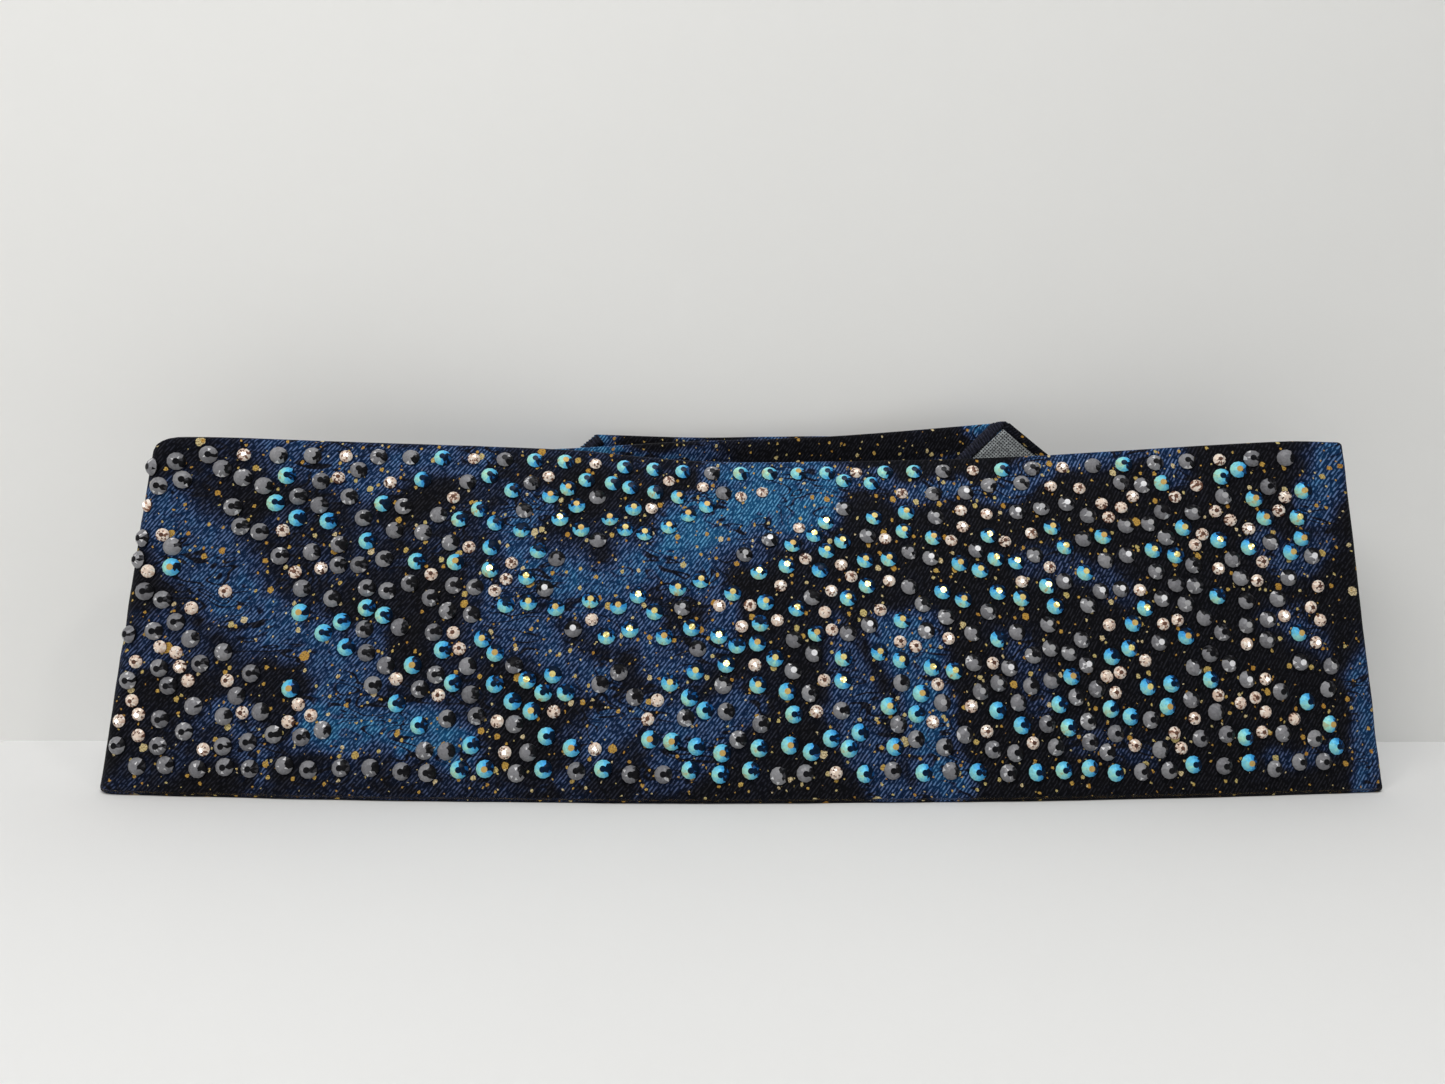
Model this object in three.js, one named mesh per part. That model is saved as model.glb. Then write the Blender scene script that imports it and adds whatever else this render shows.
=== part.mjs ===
// A headband of printed cotton with flat-back crystals, closed into a hoop by hook-and-loop at the back.
// It stands on its lower edge, flattened: the long front panel leans back and bows a little, and two back
// wings, which turn about the soft folds at its ends, overlap behind it.
// Seen from the decorated side, +X is to the right, +Y away from the viewer and +Z up, in millimetres.
// The origin is on the standing surface, under the middle of the part.
import * as THREE from 'three';

// ---- driving dimensions -----------------------------------------------------------------------------
const HALF_WIDTH = 143.5;        // from the middle to each end fold, when flattened
const PLY = 0.4;                 // one layer of printed cotton
const LAYER_GAP = 0.3;           // clearance between layers that touch
const STIFFENER = 0.5;           // woven interlining
const STIFFENER_INSET = 0.016;   // share of the height it stays below each long edge of its tube
const THICK = 2 * PLY + 2 * LAYER_GAP + STIFFENER;
const LEAN_STRETCH = 1.06;       // horizontal thickness of a sheet that leans, over its true thickness

const TAPER = 0.068;                // how much shorter the top edge is than the foot
const FOLD_FRONT_Y = [-18, -11];    // front panel at the end folds: at the foot and at the top edge
const MID_BOW_Y = [-7.5, 21];       // how much further back the middle of the panel is, foot and top
const MID_BULGE = 6;                // how far the middle of the panel swells forward at half height
const BEND_RADIUS = 4;              // the round left fold
const CREASE_RADIUS = 1.6;          // the sharp right fold

const BACK_MID_Y = [15.5, 21.5];    // the overlap at the middle of the back, foot and top
const WING_OFFSET = 2.5;            // each wing's mid-surface from the middle of the overlap
const SETTLE = 60;                  // length over which a wing settles from its fold into the overlap

// Heights of the top edges, as [x, z] points that a smooth curve passes through.
const FRONT_TOP = [[-143.5, 73.5], [-141.5, 76], [-137, 77.3], [-107, 77], [-50, 75.9], [-14, 73.6],
  [25, 74.1], [63, 75.5], [88, 77.2], [131, 80.2], [143.5, 80.1]];
const INNER_WING_TOP = [[-140, 76.5], [-103, 75.8], [-60, 76], [-46, 76.7], [-20, 78.6], [5, 79.7],
  [26, 80.9], [68, 84.6]];
const OUTER_WING_TOP = [[-42, 80.2], [-14, 79.9], [5, 80.4], [27, 80.6], [60, 78], [88, 76.2],
  [113, 77.6], [143.5, 79.9]];
const INNER_WING_END = 84;          // free end of the inner wing, which comes from the left fold
const OUTER_WING_END = -54;         // free end of the outer wing, which comes from the right fold
const INNER_CLIP_X = 68;            // where the clipped corner of the inner wing starts
const OUTER_CLIP_X = -42;
const CLIP_SLOPE = 0.82;            // height lost for each millimetre along a clipped corner
const TAB_ROOT_X = -8;              // where the closing tab bends away from the outer wing

const TAPE_HALF_HEIGHT = 0.31;      // hook and loop: share of the wing's height, each way from its middle
const HOOK_THICK = 0.5;
const LOOP_THICK = 0.55;
const LOOP_ENDS = [-50, 62];        // where the loop tape starts and ends along the inner wing
const HOOK_ENDS = [-5, 60];         // the same for the hook tape along the outer wing
const TAB_HOOK_ENDS = [-48, -10];
const OVERLOCK_WIDTH = 3.4;
const OVERLOCK_THICK = 0.4;
const EDGE_MARGIN = 0.4;            // of the overlock, from a free end
const SEAM_SHARES = [0.045, 0.055]; // the closing stitches, between these shares of the height
const SEAM_THICK = 0.35;
const FACING_DROP = 12;             // height of the turned corner's triangle
const FACING_THICK = 0.4;

// Flat-back crystals: diameter, total height and facets.
const CRYSTAL_SIDES = 12;
const LARGE = { diameter: 3.9, height: 1.45 };
const SMALL = { diameter: 2.9, height: 1.15 };
const GIRDLE = 0.28;                // height of the crystal's rim
const TABLE_SHARE = 0.33;           // table diameter over crystal diameter

const MATERIALS = {
  printed_cotton: { color: 0x15182a, roughness: 0.85, metalness: 0 },
  cotton_reverse: { color: 0x9a9ca3, roughness: 0.9, metalness: 0 },
  interlining: { color: 0xd8d6cf, roughness: 0.95, metalness: 0 },
  hook_tape: { color: 0x1b1d2c, roughness: 0.6, metalness: 0 },
  loop_tape: { color: 0x171a33, roughness: 1, metalness: 0 },
  thread: { color: 0x1d2140, roughness: 0.8, metalness: 0 },
  aqua_crystal: { color: 0x3fa9cf, roughness: 0.12, metalness: 0.6 },
  graphite_crystal: { color: 0x5b5d63, roughness: 0.12, metalness: 0.9 },
  champagne_crystal: { color: 0xd9b9a4, roughness: 0.08, metalness: 0.4 },
};

// ---- small helpers ----------------------------------------------------------------------------------
const mix = (a, b, t) => a + (b - a) * t;
const smooth = (t) => { const c = Math.min(1, Math.max(0, t)); return c * c * (3 - 2 * c); };

// A smooth curve through [x, z] points: cubic Hermite pieces with central-difference slopes.
function through(points, x) {
  const last = points.length - 1;
  if (x <= points[0][0]) return points[0][1];
  if (x >= points[last][0]) return points[last][1];
  const i = points.findIndex((p, k) => k < last && x <= points[k + 1][0]);
  const slope = (k) => {
    const a = points[Math.max(0, k - 1)], b = points[Math.min(last, k + 1)];
    return (b[1] - a[1]) / (b[0] - a[0]);
  };
  const [x0, z0] = points[i], [x1, z1] = points[i + 1];
  const w = x1 - x0, t = (x - x0) / w, u = 1 - t;
  const values = z0 * (1 + 2 * t) * u * u + z1 * t * t * (3 - 2 * t);
  return values + slope(i) * w * t * u * u - slope(i + 1) * w * t * t * u;
}

// ---- the three sheets -------------------------------------------------------------------------------
// A station is one upright line of a sheet: where it stands, how high it is and how far it swells forward.
const FLAT_MIDDLE = (BEND_RADIUS - CREASE_RADIUS) / 2;
const FLAT_HALF = HALF_WIDTH - (BEND_RADIUS + CREASE_RADIUS) / 2;
const ROOTS = { '-1': BEND_RADIUS - HALF_WIDTH, 1: HALF_WIDTH - CREASE_RADIUS };
const share = (x) => (x - FLAT_MIDDLE) / FLAT_HALF;

function frontStation(x, bend = 0) {
  const bow = 1 - share(x) ** 2, radius = x < 0 ? BEND_RADIUS : CREASE_RADIUS;
  const back = radius * (1 - Math.cos(bend));
  const px = x + Math.sign(x) * radius * Math.sin(bend);
  return {
    x: px,
    foot: FOLD_FRONT_Y[0] + MID_BOW_Y[0] * bow + back,
    head: FOLD_FRONT_Y[1] + MID_BOW_Y[1] * bow + back,
    top: through(FRONT_TOP, px),
    low: 0,
    swell: MID_BULGE * bow,
  };
}

function backStation(x, side, top, clipX, direction) {
  const u = Math.min(1, Math.abs(share(x)));
  const fold = 2 * (side < 0 ? BEND_RADIUS : CREASE_RADIUS);
  const settled = smooth((x - ROOTS[side]) * -side / SETTLE);
  const offset = side * WING_OFFSET * settled;
  const clipped = Math.max(0, (x - clipX) * direction) * CLIP_SLOPE;
  const full = through(top, x);
  return {
    x,
    foot: mix(BACK_MID_Y[0], FOLD_FRONT_Y[0] + fold, u ** 2.2) + offset,
    head: mix(BACK_MID_Y[1], FOLD_FRONT_Y[1] + fold, u ** 2) + offset,
    top: full - clipped,
    full,
    low: clipped,
    swell: 0,
  };
}
const innerStation = (x) => backStation(x, -1, INNER_WING_TOP, INNER_CLIP_X, 1);
const outerStation = (x) => backStation(x, 1, OUTER_WING_TOP, OUTER_CLIP_X, -1);

// The mid-surface point of a station at height share v.
function place(s, v) {
  const full = s.full ?? s.top;
  const z = mix(s.low, s.top, v), h = z / full;
  return new THREE.Vector3(s.x * (1 - TAPER * h), mix(s.foot, s.head, h) - 4 * s.swell * h * (1 - h), z);
}

const evenly = (a, b, n) => Array.from({ length: n + 1 }, (_, i) => mix(a, b, i / n));

const SLIT = 0.2;                   // half the gap at each hinge line
const BEND_STEPS = 6;
const OPEN_BEND = 0.02;             // how far a bend stops short of half a turn, in radians
const FRONT_STATIONS = 26, INNER_STATIONS = 20, OUTER_STATIONS = 16, TAB_STATIONS = 4;
const bendAngles = evenly(0, Math.PI - OPEN_BEND, BEND_STEPS).slice(1);
const frontLine = [
  ...bendAngles.map((a) => frontStation(ROOTS[-1], a)).reverse(),
  ...evenly(ROOTS[-1], ROOTS[1], FRONT_STATIONS).map((x) => frontStation(x)),
  ...bendAngles.map((a) => frontStation(ROOTS[1], a)),
];
const frontFlat = frontLine.slice(BEND_STEPS + 1, -BEND_STEPS - 1);
const innerSpan = [...evenly(ROOTS[-1] + SLIT, INNER_CLIP_X, INNER_STATIONS), INNER_WING_END];
const innerLine = innerSpan.map(innerStation);
const outerLine = evenly(TAB_ROOT_X + SLIT, ROOTS[1] - SLIT, OUTER_STATIONS).map(outerStation);
const tabSpan = [OUTER_WING_END, ...evenly(OUTER_CLIP_X, TAB_ROOT_X - SLIT, TAB_STATIONS)];
const tabLine = tabSpan.map(outerStation);

// ---- solids swept along a line of stations ----------------------------------------------------------
// The horizontal direction that faces forward at a station, square to the sheet.
function facing(line, i, v) {
  const a = place(line[Math.max(0, i - 1)], v), b = place(line[Math.min(line.length - 1, i + 1)], v);
  return new THREE.Vector3(b.y - a.y, a.x - b.x, 0).normalize();
}

// A closed loop of points at one station: up the front at offset `ahead`, down the back at offset `behind`.
function ringAt(line, i, v0, v1, ahead, behind, steps) {
  const at = (v, h) => place(line[i], v).addScaledVector(facing(line, i, v), h * LEAN_STRETCH);
  return [
    ...evenly(v0, v1, steps).map((v) => at(v, ahead)),
    ...evenly(v1, v0, steps).map((v) => at(v, behind)),
  ];
}

function geometryOf(points, triangles) {
  const g = new THREE.BufferGeometry();
  g.setAttribute('position', new THREE.Float32BufferAttribute(points.flatMap((p) => [p.x, p.y, p.z]), 3));
  g.setIndex(triangles);
  g.computeVertexNormals();
  return g;
}

// Joins successive rings into a skin. flip turns it inside out.
function skin(rings, first, flip) {
  const m = rings[0].length, out = [];
  for (let i = 0; i + 1 < rings.length; i++) {
    for (let j = 0; j < m; j++) {
      const a = first + i * m + j, b = first + i * m + (j + 1) % m, c = a + m, d = b + m;
      out.push(...(flip ? [a, c, b, b, c, d] : [a, b, c, b, d, c]));
    }
  }
  return out;
}

const V_STEPS = 5;                  // pieces of a section, up its height
const NOMINAL_HEIGHT = 78;

// A solid slab: a share of the sheet's height, from offset `behind` to offset `ahead`.
function slab(line, { v0 = 0, v1 = 1, ahead, behind, steps = V_STEPS }) {
  const rings = line.map((_, i) => ringAt(line, i, v0, v1, ahead, behind, steps));
  const m = rings[0].length, top = (rings.length - 1) * m, tris = skin(rings, 0, true);
  for (let j = 0; j < steps; j++) {
    const k = m - 1 - j;
    tris.push(j, j + 1, k, j + 1, k - 1, k);
    tris.push(top + j, top + k, top + j + 1, top + j + 1, top + k, top + k - 1);
  }
  return geometryOf(rings.flat(), tris);
}

// A flat tube of cotton, open at both ends, which the stiffener lies in.
function sleeve(line) {
  const half = THICK / 2, inset = PLY / NOMINAL_HEIGHT;
  const outer = line.map((_, i) => ringAt(line, i, 0, 1, half, -half, V_STEPS));
  const inner = line.map((_, i) => ringAt(line, i, inset, 1 - inset, half - PLY, PLY - half, V_STEPS));
  const m = outer[0].length, shift = outer.length * m, end = (outer.length - 1) * m;
  const tris = [...skin(outer, 0, true), ...skin(inner, shift, false)];
  for (let j = 0; j < m; j++) {
    const k = (j + 1) % m;
    tris.push(j, k, shift + j, k, shift + k, shift + j);
    tris.push(end + j, end + shift + j, end + k, end + k, end + shift + j, end + shift + k);
  }
  return geometryOf([...outer.flat(), ...inner.flat()], tris);
}

// The woven stiffener inside a tube. It stops one station short of a hinge line, so that only cloth folds.
function interlining(line) {
  const v1 = 1 - STIFFENER_INSET;
  return slab(line, { v0: STIFFENER_INSET, v1, ahead: STIFFENER / 2, behind: -STIFFENER / 2 });
}

// A layer on one face of a sheet, faceSide 1 ahead of it or -1 behind it, between two shares of its height.
function layer(line, faceSide, [v0, v1], thick, steps) {
  const near = faceSide * (THICK / 2 + LAYER_GAP), far = near + faceSide * thick;
  return slab(line, { v0, v1, ahead: Math.max(near, far), behind: Math.min(near, far), steps });
}

const TAPE_SHARES = [0.5 - TAPE_HALF_HEIGHT, 0.5 + TAPE_HALF_HEIGHT];
const OVERLOCK_SHARES = [0.02, 0.98];
const closingSeam = (line, faceSide) => layer(line, faceSide, SEAM_SHARES, SEAM_THICK, 1);
const tape = (line, faceSide, thick) => layer(line, faceSide, TAPE_SHARES, thick, 3);
const overlock = (line) => layer(line, 1, OVERLOCK_SHARES, OVERLOCK_THICK, 3);

// ---- crystals ---------------------------------------------------------------------------------------
// A faceted flat-back: a low rim, a cone of facets and a flat table. Its axis is +Y of the lathe.
function crystalGeometry({ diameter, height }) {
  const r = diameter / 2;
  const profile = [[0, 0], [r, 0], [r, GIRDLE], [r * TABLE_SHARE, height], [0, height]];
  return new THREE.LatheGeometry(profile.map(([a, b]) => new THREE.Vector2(a, b)), CRYSTAL_SIDES);
}

// The front face's frame at x and height share v: a point on it and the direction it faces.
function onFace(x, v) {
  const step = 0.5, dv = 0.01;
  const at = (a, b) => place(frontStation(a), b);
  const p = at(x, v);
  const along = at(x + step, v).sub(at(x - step, v)), up = at(x, v + dv).sub(at(x, v - dv));
  const out = along.cross(up).normalize();
  return { out, p: p.addScaledVector(out, THICK / 2 + LAYER_GAP) };
}

// ---- the parts --------------------------------------------------------------------------------------
const headband = new THREE.Group();

function add(parent, name, material, geometry) {
  const mesh = new THREE.Mesh(geometry, new THREE.MeshStandardMaterial(MATERIALS[material]));
  mesh.name = name;
  parent.add(mesh);
  return mesh;
}

function frontPanel() {
  const g = new THREE.Group();
  add(g, 'front_cotton_sleeve', 'printed_cotton', sleeve(frontLine));
  add(g, 'front_interlining', 'interlining', interlining(frontLine));
  // The stitches that close the tube run along its inside near the foot.
  add(g, 'front_closing_seam', 'thread', closingSeam(frontFlat, -1));
  return g;
}

function innerWing() {
  const g = new THREE.Group();
  add(g, 'inner_wing_cotton_sleeve', 'printed_cotton', sleeve(innerLine));
  add(g, 'inner_wing_interlining', 'interlining', interlining(innerLine.slice(1)));
  add(g, 'inner_wing_closing_seam', 'thread', closingSeam(innerLine.slice(1, -2), 1));
  // The loop tape lies on the back of the wing, where the outer wing's hooks press on it.
  add(g, 'loop_tape', 'loop_tape', tape(evenly(...LOOP_ENDS, 8).map(innerStation), -1, LOOP_THICK));
  const endLine = [INNER_WING_END - OVERLOCK_WIDTH, INNER_WING_END - EDGE_MARGIN].map(innerStation);
  add(g, 'inner_wing_end_overlock', 'thread', overlock(endLine));
  add(g, 'inner_wing_corner_facing', 'cotton_reverse', cornerFacing());
  return g;
}

// The triangle at the inner wing's top corner where the cotton is turned and its pale reverse shows.
function cornerFacing() {
  const ahead = THICK / 2 + LAYER_GAP, edge = 0.3;
  const right = INNER_WING_END - OVERLOCK_WIDTH - 2 * EDGE_MARGIN;
  const line = [INNER_CLIP_X - FACING_DROP / CLIP_SLOPE, INNER_CLIP_X, right].map(innerStation);
  const share = (i, z) => (z - line[i].low) / (line[i].top - line[i].low);
  const apex = through(INNER_WING_TOP, INNER_CLIP_X) - 2 * edge, base = apex - FACING_DROP;
  const spans = [
    [share(0, base), share(0, base + edge)],
    [share(1, base), share(1, apex)],
    [share(2, base), share(2, Math.max(base + edge, line[2].top - 2 * EDGE_MARGIN))],
  ];
  const rings = line.map((_, i) => ringAt(line, i, ...spans[i], ahead + FACING_THICK, ahead, 1));
  const tris = [...skin(rings, 0, true), 0, 1, 3, 1, 2, 3, 8, 11, 9, 9, 11, 10];
  return geometryOf(rings.flat(), tris);
}

function outerWing() {
  const g = new THREE.Group();
  add(g, 'outer_wing_cotton_sleeve', 'printed_cotton', sleeve(outerLine));
  add(g, 'outer_wing_interlining', 'interlining', interlining(outerLine.slice(1, -1)));
  add(g, 'outer_wing_closing_seam', 'thread', closingSeam(outerLine.slice(1, -1), -1));
  add(g, 'hook_tape', 'hook_tape', tape(evenly(...HOOK_ENDS, 5).map(outerStation), 1, HOOK_THICK));
  return g;
}

function closingTab() {
  const g = new THREE.Group();
  add(g, 'tab_cotton_sleeve', 'printed_cotton', sleeve(tabLine));
  add(g, 'tab_interlining', 'interlining', interlining(tabLine.slice(0, -1)));
  add(g, 'tab_hook_tape', 'hook_tape', tape(evenly(...TAB_HOOK_ENDS, 3).map(outerStation), 1, HOOK_THICK));
  const endLine = [OUTER_WING_END + EDGE_MARGIN, OUTER_WING_END + OVERLOCK_WIDTH].map(outerStation);
  add(g, 'tab_end_overlock', 'thread', overlock(endLine));
  return g;
}

// The row of crystals along the top edge, from left to right: graphite, aqua and champagne.
const TOP_ROW = 'gcggcggacgaacaaagaaaacaagcagcgaggcgg';
const KINDS = {
  g: { name: 'graphite', size: LARGE },
  a: { name: 'aqua', size: LARGE },
  c: { name: 'champagne', size: SMALL },
};
const ROW_HALF_LENGTH = 131;
const ROW_BELOW_TOP = 4.2;

function crystals() {
  const g = new THREE.Group(), made = { g: 0, a: 0, c: 0 };
  [...TOP_ROW].forEach((letter, i) => {
    const x = mix(-ROW_HALF_LENGTH, ROW_HALF_LENGTH, i / (TOP_ROW.length - 1));
    const { out, p } = onFace(x, 1 - ROW_BELOW_TOP / through(FRONT_TOP, x));
    const { name, size } = KINDS[letter];
    const number = String(++made[letter]).padStart(2, '0');
    const mesh = add(g, `${name}_crystal_${number}`, `${name}_crystal`, crystalGeometry(size));
    mesh.position.copy(p);
    mesh.quaternion.setFromUnitVectors(new THREE.Vector3(0, 1, 0), out);
  });
  return g;
}

headband.add(frontPanel(), innerWing(), outerWing(), closingTab(), crystals());
export default headband;
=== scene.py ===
"""The looks of a crystal-covered fabric headband, closed into a hoop and standing flattened on its edge.

Lengths inside this script are in millimetres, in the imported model's frame, until a mesh is made. The cloth
panels are built on the same surfaces as the CAD model's: `s` runs along the band's foot and `h` is the share
of its height, 0 at the foot and 1 at the top edge.
"""

import math

import bpy
import numpy as np
from mathutils import Matrix, Vector


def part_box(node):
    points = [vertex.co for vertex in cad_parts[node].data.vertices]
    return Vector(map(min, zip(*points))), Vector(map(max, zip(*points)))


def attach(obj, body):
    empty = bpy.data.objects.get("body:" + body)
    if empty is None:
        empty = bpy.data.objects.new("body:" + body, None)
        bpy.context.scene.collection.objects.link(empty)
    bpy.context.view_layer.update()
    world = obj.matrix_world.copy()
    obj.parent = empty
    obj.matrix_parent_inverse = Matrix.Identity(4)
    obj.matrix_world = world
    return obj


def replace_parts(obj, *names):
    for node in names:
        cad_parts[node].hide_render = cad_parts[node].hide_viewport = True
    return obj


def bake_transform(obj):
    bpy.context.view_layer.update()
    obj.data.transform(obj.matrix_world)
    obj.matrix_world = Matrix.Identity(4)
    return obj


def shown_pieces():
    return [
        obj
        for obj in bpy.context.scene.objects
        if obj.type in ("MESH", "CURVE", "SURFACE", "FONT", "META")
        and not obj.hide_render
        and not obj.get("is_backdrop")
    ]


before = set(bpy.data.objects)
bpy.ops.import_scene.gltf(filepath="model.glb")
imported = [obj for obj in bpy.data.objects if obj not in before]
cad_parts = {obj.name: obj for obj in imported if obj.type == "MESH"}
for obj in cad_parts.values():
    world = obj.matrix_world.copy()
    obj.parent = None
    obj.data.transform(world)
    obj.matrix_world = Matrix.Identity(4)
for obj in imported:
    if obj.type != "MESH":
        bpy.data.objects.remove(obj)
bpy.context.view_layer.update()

MM = 0.001
SEED = 20

# ---- the band's driving dimensions, as in the CAD model ------------------------------
HALF_WIDTH = 143.5
TAPER = 0.068
FOLD_FRONT_Y = (-18, -11)  # of the mid-surface at the folds, at the foot and at the top edge
MID_BOW_Y = (-7.5, 21)  # how far the middle bows back from there, at the foot and at the top
MID_BULGE = 6
BEND_RADIUS = 4
CREASE_RADIUS = 1.6
BACK_MID_Y = (15.5, 21.5)
WING_OFFSET = 2.5
SETTLE = 60
HALF_THICK = 1.0
FRONT_TOP = [(-143.5, 73.5), (-141.5, 76), (-137, 77.3), (-107, 77), (-50, 75.9), (-14, 73.6), (25, 74.1),
             (63, 75.5), (88, 77.2), (131, 80.2), (143.5, 80.1)]
INNER_WING_TOP = [(-140, 76.5), (-103, 75.8), (-60, 76), (-46, 76.7), (-20, 78.6), (5, 79.7), (26, 80.9),
                  (68, 84.6)]
OUTER_WING_TOP = [(-42, 80.2), (-14, 79.9), (5, 80.4), (27, 80.6), (60, 78), (88, 76.2), (113, 77.6),
                  (143.5, 79.9)]
INNER_WING_END = 84
OUTER_WING_END = -54
INNER_CLIP_X = 68
OUTER_CLIP_X = -42
CLIP_SLOPE = 0.82
TAB_ROOT_X = -8

ROOT_LEFT = BEND_RADIUS - HALF_WIDTH
ROOT_RIGHT = HALF_WIDTH - CREASE_RADIUS
FLAT_MIDDLE = (BEND_RADIUS - CREASE_RADIUS) / 2
FLAT_HALF = HALF_WIDTH - (BEND_RADIUS + CREASE_RADIUS) / 2
PANEL_HEIGHT = 77.0  # about, for turning a share of the height into millimetres

# Crystals: diameter, height of the rim, height of the table, table diameter over crystal diameter.
LARGE = (3.9, 0.30, 1.35, 0.36)
SMALL = (2.9, 0.24, 1.05, 0.34)


# ---- small numeric helpers ------------------------------
def mix(a, b, t):
    return a + (b - a) * t


def smooth(t):
    t = np.clip(t, 0, 1)
    return t * t * (3 - 2 * t)


def ease(a, b, x, start, reach):
    """From a to b as x goes from start over reach."""
    return mix(a, b, float(smooth((x - start) / reach)))


def through(points, x):
    """A smooth curve through (x, z) points: cubic Hermite pieces with central-difference slopes."""
    px, pz = (np.array(c, float) for c in zip(*points))
    last = len(px) - 1
    before, after = np.maximum(np.arange(last + 1) - 1, 0), np.minimum(np.arange(last + 1) + 1, last)
    slope = (pz[after] - pz[before]) / (px[after] - px[before])
    x = np.clip(x, px[0], px[-1])
    i = np.clip(np.searchsorted(px, x, side="right") - 1, 0, last - 1)
    w = px[i + 1] - px[i]
    t = (x - px[i]) / w
    u = 1 - t
    return (pz[i] * (1 + 2 * t) * u * u + slope[i] * w * t * u * u
            + pz[i + 1] * t * t * (3 - 2 * t) - slope[i + 1] * w * t * t * u)


def value_noise(x, y, seed):
    """Smooth noise from -1 to 1 over the plane, one lattice cell to a unit."""
    size = 64
    lattice = np.random.default_rng(SEED + seed).uniform(-1, 1, (size, size))
    x, y = np.asarray(x, float), np.asarray(y, float)
    i, j = np.floor(x).astype(int), np.floor(y).astype(int)
    fx, fy = smooth(x - i), smooth(y - j)
    pick = lambda a, b: lattice[a % size, b % size]
    return mix(mix(pick(i, j), pick(i + 1, j), fx), mix(pick(i, j + 1), pick(i + 1, j + 1), fx), fy)


def layered_noise(x, y, seed, layers=3):
    total, weight = 0.0, 1.0
    for k in range(layers):
        total = total + weight * value_noise(x * 2**k, y * 2**k, seed + 11 * k)
        weight *= 0.5
    return total


# ---- the band's surfaces ------------------------------
def share(x):
    return (x - FLAT_MIDDLE) / FLAT_HALF


def front_middle(s, h):
    """The front panel's mid-surface, with the bends at its ends."""
    s, h = np.broadcast_arrays(np.asarray(s, float), np.asarray(h, float))
    flat = np.clip(s, ROOT_LEFT, ROOT_RIGHT)
    over = s - flat
    radius = np.where(over < 0, BEND_RADIUS, CREASE_RADIUS)
    bend = np.clip(np.abs(over) / radius, 0, math.pi)
    x = flat + np.sign(over) * radius * np.sin(bend)
    back = radius * (1 - np.cos(bend))
    bow = 1 - share(flat) ** 2
    y = mix(FOLD_FRONT_Y[0] + MID_BOW_Y[0] * bow, FOLD_FRONT_Y[1] + MID_BOW_Y[1] * bow, h)
    y = y - 4 * MID_BULGE * bow * h * (1 - h) + back
    return np.stack([x * (1 - TAPER * h), y, h * through(FRONT_TOP, x)], -1)


def wing_span(top, clip_x, direction):
    """The lowest and highest z of a wing at s, and how high it would be without its clipped corners."""
    def span(s):
        full = through(top, s)
        low = np.maximum(0, (np.asarray(s, float) - clip_x) * direction) * CLIP_SLOPE
        return low, full - low, full

    return span


inner_span = wing_span(INNER_WING_TOP, INNER_CLIP_X, 1)
outer_span = wing_span(OUTER_WING_TOP, OUTER_CLIP_X, -1)


def wing_middle(side, span):
    """The mid-surface of a back wing, from the fold on that side."""
    fold = 2 * (BEND_RADIUS if side < 0 else CREASE_RADIUS)
    root = ROOT_LEFT if side < 0 else ROOT_RIGHT

    def middle(s, v):
        s, v = np.broadcast_arrays(np.asarray(s, float), np.asarray(v, float))
        u = np.minimum(1, np.abs(share(s)))
        offset = side * WING_OFFSET * smooth((s - root) * -side / SETTLE)
        low, high, full = span(s)
        z = mix(low, high, v)
        h = z / full
        foot = mix(BACK_MID_Y[0], FOLD_FRONT_Y[0] + fold, u**2.2) + offset
        head = mix(BACK_MID_Y[1], FOLD_FRONT_Y[1] + fold, u**2) + offset
        return np.stack([s * (1 - TAPER * h), mix(foot, head, h), z], -1)

    return middle


inner_middle = wing_middle(-1, inner_span)
outer_middle = wing_middle(1, outer_span)


def facing(middle, s, h):
    """The unit normal of a mid-surface, which points to the front where s runs to +X."""
    ds, dh = 0.3, 0.004
    along = middle(s + ds, h) - middle(s - ds, h)
    up = middle(s, h + dh) - middle(s, h - dh)
    out = np.cross(along, up)
    return out / np.linalg.norm(out, axis=-1, keepdims=True)


def pucker(s, h, seed):
    """How far the cloth stands off its smooth surface, in millimetres."""
    z = h * PANEL_HEIGHT
    waves = 0.22 * layered_noise(s / 26, z / 22, seed, 2) + 0.09 * layered_noise(s / 7, z / 6, seed + 3, 2)
    edge = np.exp(-z / 3.5) + np.exp(-(PANEL_HEIGHT - z) / 3.5)
    return waves + 0.16 * edge * value_noise(s / 5.5, z / 9, seed + 7)


def wing_surface(middle, span, s, z, side, lift):
    """A point over a wing's face at (s, z), and its normal. side is 1 for its front and -1 for its back."""
    low, high, _ = span(s)
    v = np.clip((z - low) / (high - low), 0, 1)
    out = facing(middle, s, np.clip(v, 0.005, 0.995))
    return middle(s, v) + out * np.asarray(side * (HALF_THICK + lift))[..., None], out * side


def front_surface(s, h, lift=0.0):
    """A point on the front cloth's outer face, and its normal."""
    out = facing(front_middle, s, h)
    offset = HALF_THICK + pucker(s, h, 1) + lift
    return front_middle(s, h) + out * np.asarray(offset)[..., None], out


# ---- meshes ------------------------------
def mesh_object(name, points, faces, body, material, slot, smooth_shade=True):
    mesh = bpy.data.meshes.new(name)
    mesh.from_pydata((np.asarray(points) * MM).tolist(), [], faces)
    mesh.update()
    mesh.polygons.foreach_set("use_smooth", [smooth_shade] * len(mesh.polygons))
    obj = bpy.data.objects.new(name, mesh)
    bpy.context.scene.collection.objects.link(obj)
    mesh.materials.append(material)
    if body:
        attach(obj, body)
    return obj


def set_point_values(obj, name, values):
    attribute = obj.data.attributes.new(name, "FLOAT", "POINT")
    attribute.data.foreach_set("value", np.asarray(values, np.float32))


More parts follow.
